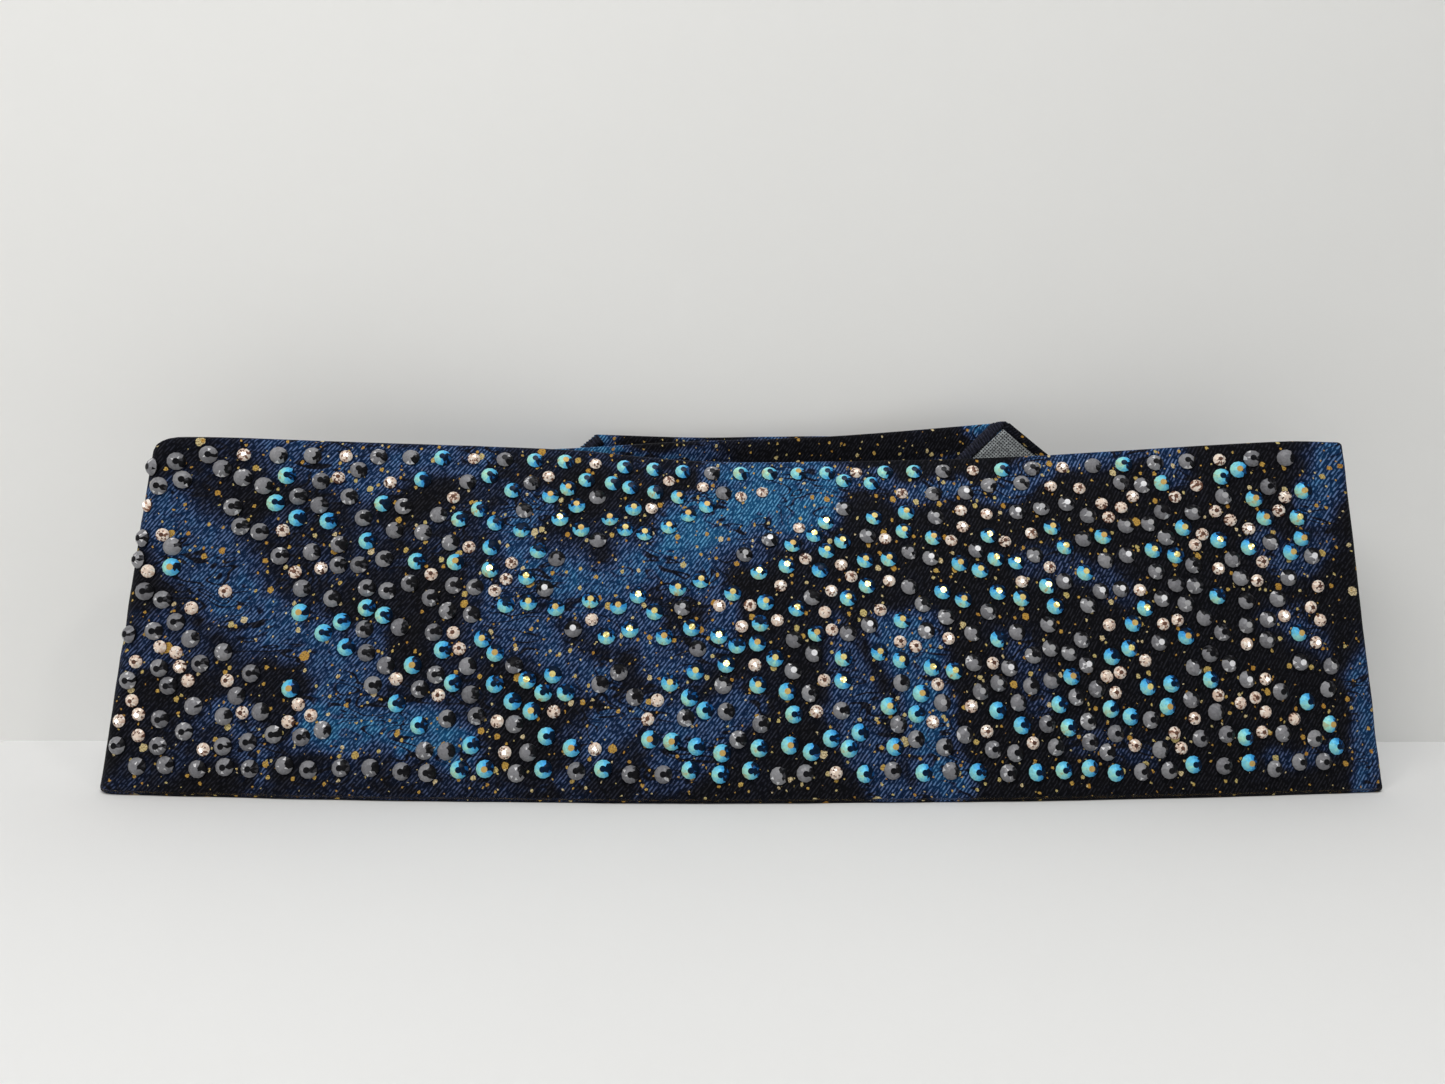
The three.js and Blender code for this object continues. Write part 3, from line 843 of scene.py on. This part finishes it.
def tape(name, span, body, node, surface, side, thick, rough, step, material, slot):
    """A tape sewn on a wing: a slab on a grid of `step`, whose upper face is uneven by `rough`."""
    s = stepped(*span, step)
    z = stepped(PATCH_LOW, PATCH_HIGH, step)
    grid_s, grid_z = np.meshgrid(s, z, indexing="ij")
    edge = np.zeros(grid_s.shape, bool)
    edge[[0, -1]] = edge[:, [0, -1]] = True
    height = thick + rough * value_noise(grid_s / 1.3, grid_z / 1.3, 91)
    upper = surface(grid_s, grid_z, np.where(edge, TAPE_EDGE * thick, height), side)[0]
    lower = surface(grid_s, grid_z, -TAPE_SUNK, side)[0]
    n, m = grid_s.shape
    index = np.arange(n * m).reshape(n, m)
    quads = np.stack([index[:-1, :-1], index[1:, :-1], index[1:, 1:], index[:-1, 1:]], -1).reshape(-1, 4)
    rim = np.concatenate([index[:, 0], index[-1, 1:], index[-2::-1, -1], index[0, -2:0:-1]])
    after = np.roll(rim, -1)
    walls = np.stack([rim, after, after + n * m, rim + n * m], -1)
    faces = np.concatenate([quads[:, ::-1], quads + n * m, walls[:, ::-1]])
    if side > 0:
        faces = faces[:, ::-1]
    points = np.concatenate([upper.reshape(-1, 3), lower.reshape(-1, 3)])
    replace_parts(mesh_object(name, points, faces.tolist(), body, material, slot), node)


def hooks(name, span, body):
    """Rows of small hooks that stand on a tape."""
    rng = np.random.default_rng(SEED + 5)
    paths = []
    for s in np.arange(span[0] + 1.5, span[1] - 1, HOOK_PITCH):
        for z in np.arange(PATCH_LOW + 1.5, PATCH_HIGH - 1, HOOK_PITCH):
            lean = rng.choice([-1, 1]) * rng.uniform(0.35, 0.55)
            foot, out = outer_at(s, z, HOOK_BASE - 0.1)
            paths.append([foot + out * rise + (0, 0, lean * part) for rise, part in HOOK_CURVE])
    mesh_object(name, *tube_mesh(paths, HOOK_RADIUS, 3), body, HOOK, "hook_tape")


HOOK = spun("hook_tape", (0.060, 0.066, 0.100), (0.010, 0.011, 0.022), 1600, 0.45)
LOOP = spun("loop_tape", (0.040, 0.048, 0.105), (0.004, 0.005, 0.014), 1300, 0.95)
LOOP_KIND = dict(surface=inner_at, side=-1, thick=0.25, rough=0.16, step=1.5,
                 material=LOOP, slot="loop_tape")
HOOK_KIND = dict(surface=outer_at, side=1, thick=HOOK_BASE, rough=0.0, step=8.0,
                 material=HOOK, slot="hook_tape")
tape("loop_pile", LOOP_SPAN, "inner_wing", "loop_tape", **LOOP_KIND)
tape("hook_tape_base", HOOK_SPAN, "outer_wing", "hook_tape", **HOOK_KIND)
tape("tab_hook_base", TAB_HOOK_SPAN, "closing_tab", "tab_hook_tape", **HOOK_KIND)
hooks("hook_rows", HOOK_SPAN, "outer_wing")
hooks("tab_hook_rows", TAB_HOOK_SPAN, "closing_tab")
for name, span, surface, body in (
    ("loop_frame_stitches", LOOP_SPAN, inner_at, "inner_wing"),
    ("hook_frame_stitches", HOOK_SPAN, outer_back_at, "outer_wing"),
    ("tab_frame_stitches", TAB_HOOK_SPAN, outer_back_at, "closing_tab"),
):
    s0, s1 = span[0] + FRAME_INSET, span[1] - FRAME_INSET
    z0, z1 = PATCH_LOW + FRAME_INSET, PATCH_HIGH - FRAME_INSET
    stitches(name, [(s0, z0), (s1, z0), (s1, z1), (s0, z1), (s0, z0)], surface, body)


# The inner wing's top corner is turned: the cotton's pale reverse shows in a triangle, with an overlocked
# edge on one side of it and a narrow hem on the other.
CORNER_DROP = 12.5
CORNER_SLANT = 1.12  # how far its left edge runs out for each millimetre it drops
CORNER_INSET = 2.6  # from the clipped edge to the corner's lower right point
CORNER_STITCH_WIDTH = 2.6
CORNER_STEPS = 14
CORNER_LIFT, CORNER_SAG, CORNER_THICK = 0.30, 0.25, 0.25
HEM_WIDTH = 2.4
HEM_STEPS = 18
HEM_PART = 0.97  # of the clipped corner's length
HEM_BLUE = 0.12
HEM_SECTION = [(-0.35, 0.0, 1), (-0.30, 0.5, 1), (0.25, 0.75, 1), (0.7, 0.55, 1), (1.0, 0.1, 1),
               (0.7, 0.15, -1), (0.2, 0.15, -1), (-0.30, 0.0, -1)]  # share of its width, lift, side


def turned_corner():
    apex = np.array([INNER_CLIP_X - 0.3, float(inner_span(INNER_CLIP_X)[1]) - 1.0])
    left = apex + np.array([-CORNER_DROP * CORNER_SLANT, -CORNER_DROP])
    right = apex + np.array([CORNER_DROP / CLIP_SLOPE - CORNER_INSET, -CORNER_DROP])
    points, rows = [], []
    for i in range(CORNER_STEPS + 1):
        row = []
        for j in range(i + 1):
            s, z = apex + ((left - apex) * (i - j) + (right - apex) * j) / CORNER_STEPS
            sag = CORNER_SAG * math.sin(math.pi * i / CORNER_STEPS) * float(value_noise(s / 5, z / 5, 97))
            row.append(len(points))
            points.append(inner_at(s, z, CORNER_LIFT + sag)[0])
        rows.append(row)
    faces = []
    for i in range(CORNER_STEPS):
        for j in range(i + 1):
            faces.append([rows[i][j], rows[i + 1][j], rows[i + 1][j + 1]])
            if j < i:
                faces.append([rows[i][j], rows[i + 1][j + 1], rows[i][j + 1]])
    rim = [row[0] for row in rows] + rows[-1][1:] + [row[-1] for row in rows[-2:0:-1]]
    under = len(points)
    out = inner_at(*apex, 0.0)[1]
    points += [p - out * CORNER_THICK for p in points]
    faces += [[k + under for k in f][::-1] for f in faces]
    faces += [[b, a, a + under, b + under] for a, b in zip(rim, rim[1:] + rim[:1])]
    obj = mesh_object("corner_reverse", points, faces, "inner_wing", REVERSE, "cotton_reverse")
    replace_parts(obj, "inner_wing_corner_facing")
    overlock("corner_stitches", [apex + (0.2, 0.9), left], -1, CORNER_STITCH_WIDTH, inner_at, "inner_wing",
             both_sides=False)


def clip_hem():
    """A rolled hem along the clipped corner, from the peak down to the wing's end."""
    a, b = (np.array(c) for c in end_corners(inner_span, INNER_CLIP_X, INNER_WING_END)[:2])
    heading = (b - a) / np.linalg.norm(b - a)
    inward = np.array([heading[1], -heading[0]])
    points, uv = [], []
    for k in range(HEM_STEPS + 1):
        base = a + (b - a) * (k / HEM_STEPS) * HEM_PART
        for w, lift, side in HEM_SECTION:
            s, z = base + inward * w * HEM_WIDTH
            points.append(inner_at(s, z, lift + 0.05, side)[0])
            uv.append((s, z + 4 * lift))
    faces = tube_faces(0, HEM_STEPS + 1, len(HEM_SECTION))
    obj = mesh_object("corner_hem", points, faces, "inner_wing", PRINT, "printed_cotton")
    set_uv(obj, uv)
    set_point_values(obj, "blue", np.full(len(points), HEM_BLUE))


REVERSE = woven("cotton_reverse", (0.40, 0.43, 0.44), (0.006, 0.007, 0.010), 0.62)
turned_corner()
clip_hem()


# ---- crystals ------------------------------
SIDES = 12
GIRDLE = (0.70, 0.62)  # where the crown's facets meet: share of the radius and of the crown's height
TABLE_CROWN = 0.04  # how far the table's middle stands over its edge
RIM, CROWN, TABLE = 0, 1, 2


def crystal_mesh(size):
    """Points and faces of one crystal about its own axis, +Z up from the cloth, and each face's part."""
    diameter, rim, height, table = size
    r = diameter / 2

    def ring(radius, z, shift=0.0):
        turns = [2 * math.pi * (k + shift) / SIDES for k in range(SIDES)]
        return [(radius * math.cos(turn), radius * math.sin(turn), z) for turn in turns]

    points = ring(r, 0) + ring(r, rim) + ring(r * GIRDLE[0], mix(rim, height, GIRDLE[1]), 0.5)
    points += ring(r * table, height) + [(0, 0, height + TABLE_CROWN)]
    faces, parts = [], []
    for k in range(SIDES):
        j = (k + 1) % SIDES
        faces.append([k, j, SIDES + j, SIDES + k])
        parts.append(RIM)
        faces.append([SIDES + k, SIDES + j, 2 * SIDES + k])
        faces.append([2 * SIDES + k, SIDES + j, 2 * SIDES + j])
        faces.append([2 * SIDES + k, 3 * SIDES + j, 3 * SIDES + k])
        faces.append([2 * SIDES + k, 2 * SIDES + j, 3 * SIDES + j])
        parts += [CROWN] * 4
        faces.append([3 * SIDES + k, 3 * SIDES + j, 4 * SIDES])
        parts.append(TABLE)
    return np.array(points), faces, parts


KINDS = ("graphite", "aqua", "champagne")
SIZES = {"graphite": LARGE, "aqua": LARGE, "champagne": SMALL}

# How the three kinds are mixed about the front panel: a place's s and z, and the share of each kind there.
MIXES = np.array([
    (-132, 60, 0.78, 0.04, 0.18), (-132, 20, 0.66, 0.02, 0.32), (-108, 52, 0.30, 0.36, 0.34),
    (-104, 68, 0.52, 0.38, 0.10), (-112, 14, 0.55, 0.03, 0.42), (-80, 44, 0.44, 0.44, 0.12),
    (-78, 66, 0.34, 0.46, 0.20), (-66, 24, 0.36, 0.42, 0.22), (-76, 6, 0.62, 0.06, 0.32),
    (-44, 64, 0.04, 0.90, 0.06), (-44, 42, 0.12, 0.74, 0.14), (-42, 20, 0.30, 0.36, 0.34),
    (-14, 18, 0.24, 0.62, 0.14), (-16, 36, 0.16, 0.62, 0.22), (8, 48, 0.08, 0.56, 0.36),
    (14, 20, 0.26, 0.52, 0.22), (36, 54, 0.30, 0.46, 0.24), (40, 26, 0.30, 0.52, 0.18),
    (46, 70, 0.66, 0.24, 0.10), (62, 50, 0.32, 0.42, 0.26), (60, 10, 0.40, 0.36, 0.24),
    (84, 66, 0.28, 0.52, 0.20), (84, 34, 0.36, 0.30, 0.34), (104, 20, 0.44, 0.28, 0.28),
    (106, 52, 0.52, 0.20, 0.28), (126, 66, 0.44, 0.36, 0.20), (128, 28, 0.52, 0.20, 0.28),
])
MIX_REACH = 13.0
KIND_FAVOUR = np.array([1.1, 1.1, 0.45])  # small crystals find a place more easily than large ones


def kind_shares(s, z):
    """The share of each kind of crystal at a place, from the mixes near it."""
    weights = np.exp(-((s - MIXES[:, 0]) ** 2 + (z - MIXES[:, 1]) ** 2) / (2 * MIX_REACH**2))
    shares = weights @ MIXES[:, 2:] * KIND_FAVOUR
    return shares / shares.sum()


FOOT_ROW = (-135, 135, 6.3)  # the row along the foot: from, to, step
FOOT_ROW_Z = 6.6
FOOT_ROW_STRAY = (0.7, 0.8)  # how far a crystal of the row strays in s and in z
FIELD_RIGHT = 134  # the field's right edge; its left edge is round the bend
FIELD_BEND = 34  # degrees
FIELD_Z = (10, 72)
SPACING = {"graphite": 0.55, "aqua": 0.55, "champagne": 0.35}  # the least gap round a crystal, on average
TRIES = 9000  # darts thrown at the field


def scatter():
    """Places on the front panel as (s, h, kind): the CAD model's row along the top edge, a row along the
    foot, and a field between them that leaves the bare strokes free."""
    rng = np.random.default_rng(SEED)
    placed = []

    def kind_at(s, z):
        return KINDS[rng.choice(len(KINDS), p=kind_shares(s, z))]

    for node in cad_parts:
        if "_crystal_" in node:
            low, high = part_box(node)
            middle = (np.array(low) + np.array(high)) / 2 / MM
            h = middle[2] / float(through(FRONT_TOP, middle[0] / (1 - TAPER)))
            placed.append((middle[0] / (1 - TAPER * h), h, node.split("_")[0]))
    for s in np.arange(*FOOT_ROW):
        z = FOOT_ROW_Z + rng.uniform(-FOOT_ROW_STRAY[1], FOOT_ROW_STRAY[1])
        stray = rng.uniform(-FOOT_ROW_STRAY[0], FOOT_ROW_STRAY[0])
        placed.append((s + stray, z / PANEL_HEIGHT, kind_at(s, z)))
    for _ in range(TRIES):
        s = rng.uniform(ROOT_LEFT - BEND_RADIUS * math.radians(FIELD_BEND), FIELD_RIGHT)
        z = rng.uniform(*FIELD_Z)
        if bare_amount(s, z) > 0.5:
            continue
        kind = kind_at(s, z)
        spacing = SPACING[kind] * (1 + 0.7 * float(value_noise(s / 15, z / 13, 71)))
        radius = SIZES[kind][0] / 2
        clear = all(
            math.hypot(s - ps, z - ph * PANEL_HEIGHT) > radius + SIZES[pk][0] / 2 + spacing
            for ps, ph, pk in placed
        )
        if clear:
            placed.append((s, z / PANEL_HEIGHT, kind))
    return placed


def lit_share(s, z):
    """How many crystals get a painted highlight on their table, from 0 to 1: those in the panel's middle and
    right.
    """
    return ease(0, 1, s, -72, 24) * ease(0, 1, z, 16, 16) * ease(1, 0, z, 64, 7)


def fan(s, z, rng):
    """The fan of facets that get a painted reflection in a crystal: the direction of its middle and its half
    width, in radians. It is narrow and points down where tables get a painted highlight, and wide and to the
    left elsewhere. Inside, angles are in degrees from +X."""
    lit = lit_share(s, z)
    downward, sideways = ease(268, 226, s, -45, 75), ease(196, 172, z, 60, 10)
    middle = mix(sideways, downward, lit) + rng.uniform(-12, 12)
    half = mix(ease(152, 128, s, -125, 40), 98, lit) + rng.uniform(-14, 14)
    return math.radians(middle), math.radians(half)


LIT_PART = 0.9  # of the crystals where tables get a painted highlight
PLAIN_PART = 0.30  # of the graphite crystals, whose table is like their other facets
BLACK = 0.02  # the tint of a facet painted black, a painted shade where it shows no light


def painted_reflection_tints(kind, s, z, directions, parts, rng):
    """One reflection tint to a face of a crystal, from its part and from where it lies about the crystal's
    axis: a painted reflection in the fan, painted shade outside it and on the rim, and a painted highlight
    on a lit table.
    """
    middle, half = fan(s, z, rng)
    off = np.abs((directions - middle + math.pi) % (2 * math.pi) - math.pi) / half
    own = rng.uniform(-0.06, 0.06)
    spread = rng.uniform(-0.04, 0.04, len(parts))
    stray = rng.uniform(0, 1, len(parts))
    lit = rng.uniform() < LIT_PART * lit_share(s, z)
    if kind == "aqua":
        # painted reflection: bright facets in the fan, fading to its edge; outside it painted shade, black
        # but for a few dim facets; a lit table gets a yellow painted highlight, the others are mostly black
        bright = 0.74 - 0.30 * np.clip(off, 0, 1) ** 1.4 + own + spread
        reflection_tint = np.where(off < 1, bright, np.where(stray < 0.14, 0.26, BLACK))
        table = 0.96 + rng.uniform(-0.05, 0.04) if lit else rng.choice([0.03, 0.03, 0.03, 0.88])
    elif kind == "graphite":
        # painted reflection in the fan, with a few brighter painted glints; painted shade outside it; the
        # table plain like the fan, a painted highlight, or black
        bright = 0.52 + own + spread + 0.36 * (stray < 0.06)
        reflection_tint = np.where(off < 1, bright, np.where(stray < 0.15, 0.30, 0.03))
        plain = rng.uniform() < PLAIN_PART
        table = 0.50 + own if plain else (rng.choice([0.70, 0.96]) if lit else 0.03)
    else:
        # painted shade on some facets, on more of them higher up the panel; painted reflection on the rest;
        # the table dark or bright at random
        dark = stray < ease(0.17, 0.32, z, 30, 40)
        reflection_tint = np.where(dark, BLACK + 0.24 * rng.uniform(), 0.42 + 0.52 * stray)
        table = rng.choice([0.05, 0.10, 0.70, 0.98])
    # the table's painted tint goes on the table, and painted shade, black, on the rim
    reflection_tint = np.where(parts == TABLE, table + 0.5 * spread, reflection_tint)
    return np.clip(np.where(parts == RIM, BLACK, reflection_tint), 0, 1)


# A foil's ramp of colours, from painted shade at tint 0 to painted reflection and painted highlight at tint
# 1, how metallic it is and how rough. Tint 0 is a facet that shows only black.
FOIL_RAMPS_WITH_PAINTED_LIGHT = {
    "graphite": ([(0.0, (0.003, 0.003, 0.004)), (0.3, (0.05, 0.05, 0.057)), (0.5, (0.215, 0.215, 0.23)),
                  (0.7, (0.37, 0.37, 0.38)), (1.0, (0.86, 0.86, 0.88))], 0.06, 0.32),
    "aqua": ([(0.0, (0.002, 0.005, 0.010)), (0.25, (0.008, 0.070, 0.24)), (0.42, (0.040, 0.33, 0.76)),
              (0.58, (0.14, 0.60, 0.86)), (0.76, (0.40, 0.80, 0.64)), (0.84, (0.52, 0.36, 0.12)),
              (0.92, (0.60, 0.38, 0.12)), (1.0, (0.86, 0.82, 0.32))], 0.06, 0.30),
    "champagne": ([(0.0, (0.085, 0.042, 0.032)), (0.25, (0.26, 0.13, 0.085)), (0.6, (0.80, 0.60, 0.48)),
                   (0.8, (0.95, 0.82, 0.70)), (1.0, (1.0, 0.96, 0.90))], 0.12, 0.18),
}
CRYSTAL_TILT = 0.035  # how far a crystal leans at random, in radians
CRYSTAL_LIFT = 0.05  # how far its base is off the cloth


def crystal_field():
    """One piece for each kind: every crystal of that kind, set on the cloth and turned at random."""
    placed = scatter()
    rng = np.random.default_rng(SEED + 1)
    print("crystals", {kind: sum(k == kind for _, _, k in placed) for kind in KINDS})
    for kind in KINDS:
        base, faces, parts = crystal_mesh(SIZES[kind])
        parts = np.array(parts)
        points, all_faces, reflection_tints = [], [], []
        for s, h, k in placed:
            if k != kind:
                continue
            place, out = front_surface(s, h, CRYSTAL_LIFT)
            out = Vector(out) + Vector(rng.normal(0, CRYSTAL_TILT, 3))
            turn = Vector((0, 0, 1)).rotation_difference(out.normalized()).to_matrix()
            turn = np.array(turn @ Matrix.Rotation(rng.uniform(0, 2 * math.pi), 3, "Z"))
            first = len(points) * len(base)
            own = base @ turn.T
            points.append(own + place)
            all_faces += [[i + first for i in f] for f in faces]
            centres = np.array([own[f].mean(axis=0) for f in faces])
            directions = np.arctan2(centres[:, 2], centres[:, 0])
            reflection_tints.append(painted_reflection_tints(kind, s, h * PANEL_HEIGHT, directions, parts, rng))
        stops, metallic, roughness = FOIL_RAMPS_WITH_PAINTED_LIGHT[kind]
        foil = gem(f"{kind}_foil", stops, metallic, roughness)
        obj = mesh_object(f"{kind}_crystals", np.concatenate(points), all_faces, "front_panel", foil,
                          f"{kind}_crystal", smooth_shade=False)
        attribute = obj.data.attributes.new("reflection_tint", "FLOAT", "FACE")
        attribute.data.foreach_set("value", np.concatenate(reflection_tints).astype(np.float32))
        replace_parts(obj, *[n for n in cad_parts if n.startswith(kind + "_crystal_")])


crystal_field()


# ---- the CAD nodes that stay, with their own finishes ------------------------------
def dress(node, material):
    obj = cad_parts[node]
    obj.data.materials.clear()
    obj.data.materials.append(material)


interlining = woven("interlining", (0.70, 0.69, 0.66), (0.40, 0.39, 0.36), 0.6)
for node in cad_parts:
    if node.endswith("interlining"):
        dress(node, interlining)


# ---- floor, wall, light and camera ------------------------------
def stage_plane(name, points, colour, one_sided=False):
    """A pale plane. A one-sided plane neither shows from behind nor casts a shadow, so that the object's
    back can be seen."""
    n = Nodes(name)
    shade = n.blend(n.noise(n.position(), 9, 4), rgb([c * 0.96 for c in colour]), rgb(colour))
    material = n.finish(Base_Color=shade, Roughness=0.75)
    if one_sided:
        behind = n.add("NewGeometry").outputs["Backfacing"]
        through_it = n.add("MixShader", {0: behind})
        n.put(n.shader.outputs[0], through_it.inputs[1])
        n.put(n.add("BsdfTransparent").outputs[0], through_it.inputs[2])
        n.put(through_it.outputs[0], n.tree.nodes["Material Output"].inputs["Surface"])
    mesh = bpy.data.meshes.new(name)
    mesh.from_pydata([[c * MM for c in p] for p in points], [], [[0, 1, 2, 3]])
    mesh.materials.append(material)
    obj = bpy.data.objects.new(name, mesh)
    obj.visible_shadow = not one_sided
    bpy.context.scene.collection.objects.link(obj)
    obj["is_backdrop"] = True
    return obj


FAR = 2500
WALL_Y = 28


def strip(near, far):
    """A strip of the stage as wide as it all: near and far are the (y, z) of its long edges."""
    return [(-FAR, *near), (FAR, *near), (FAR, *far), (-FAR, *far)]


stage_plane("floor", strip((-FAR, 0), (WALL_Y, 0)), (0.80, 0.80, 0.795))
back_floor = stage_plane("back_floor", strip((WALL_Y, 0), (FAR, 0)), (0.69, 0.69, 0.685))
stage_plane("wall", strip((WALL_Y, 0), (WALL_Y, FAR)), (0.835, 0.835, 0.82), one_sided=True)


def area_light(name, place, target, size, power, colour=(1, 1, 1)):
    data = bpy.data.lights.new(name, "AREA")
    data.shape = "RECTANGLE"
    data.size, data.size_y = size[0] * MM, size[1] * MM
    data.energy = power
    data.color = colour
    obj = bpy.data.objects.new(name, data)
    obj.location = Vector(place) * MM
    obj.rotation_euler = (Vector(target) - Vector(place)).to_track_quat("-Z", "Y").to_euler()
    bpy.context.scene.collection.objects.link(obj)
    return obj


area_light("key", (-520, -600, 620), (-40, 0, 60), (340, 300), 3.55, (1.0, 0.980, 0.952))
area_light("overhead", (40, -420, 1000), (0, -60, 0), (420, 260), 4.2, (0.98, 0.99, 1.0))
area_light("glint", (330, -430, 620), (0, 0, 40), (40, 40), 0.5, (1.0, 0.97, 0.9))
behind = area_light("behind", (-300, 900, 700), (0, 0, 40), (500, 400), 4.6, (0.97, 0.98, 1.0))

# The light from behind is for the object's back and the floor there, not for the wall and the front floor.
lit = bpy.data.collections.new("lit_from_behind")
for obj in [*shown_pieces(), back_floor]:
    lit.objects.link(obj)
behind.light_linking.receiver_collection = lit

world = bpy.data.worlds.new("studio")
world.use_nodes = True
world.node_tree.nodes["Background"].inputs["Color"].default_value = (0.80, 0.82, 0.84, 1)
world.node_tree.nodes["Background"].inputs["Strength"].default_value = 0.147
bpy.context.scene.world = world

CAMERA_PLACE = (-21.6, -255.5, 72.0)
CAMERA_DOWN, CAMERA_YAW, CAMERA_ROLL = 3.85, -3.04, 0.81
CAMERA_LENS_MM = 27.1


def rotation(degrees, axis):
    return Matrix.Rotation(math.radians(degrees), 4, axis)


def photo_camera():
    data = bpy.data.cameras.new("camera")
    data.sensor_width = 36
    data.lens = CAMERA_LENS_MM
    data.clip_start = 0.01
    obj = bpy.data.objects.new("camera", data)
    aim = rotation(CAMERA_YAW, "Z") @ rotation(90 - CAMERA_DOWN, "X") @ rotation(CAMERA_ROLL, "Z")
    obj.matrix_world = Matrix.Translation(Vector(CAMERA_PLACE) * MM) @ aim
    bpy.context.scene.collection.objects.link(obj)
    bpy.context.scene.camera = obj


photo_camera()
bpy.context.scene.view_settings.view_transform = "Standard"
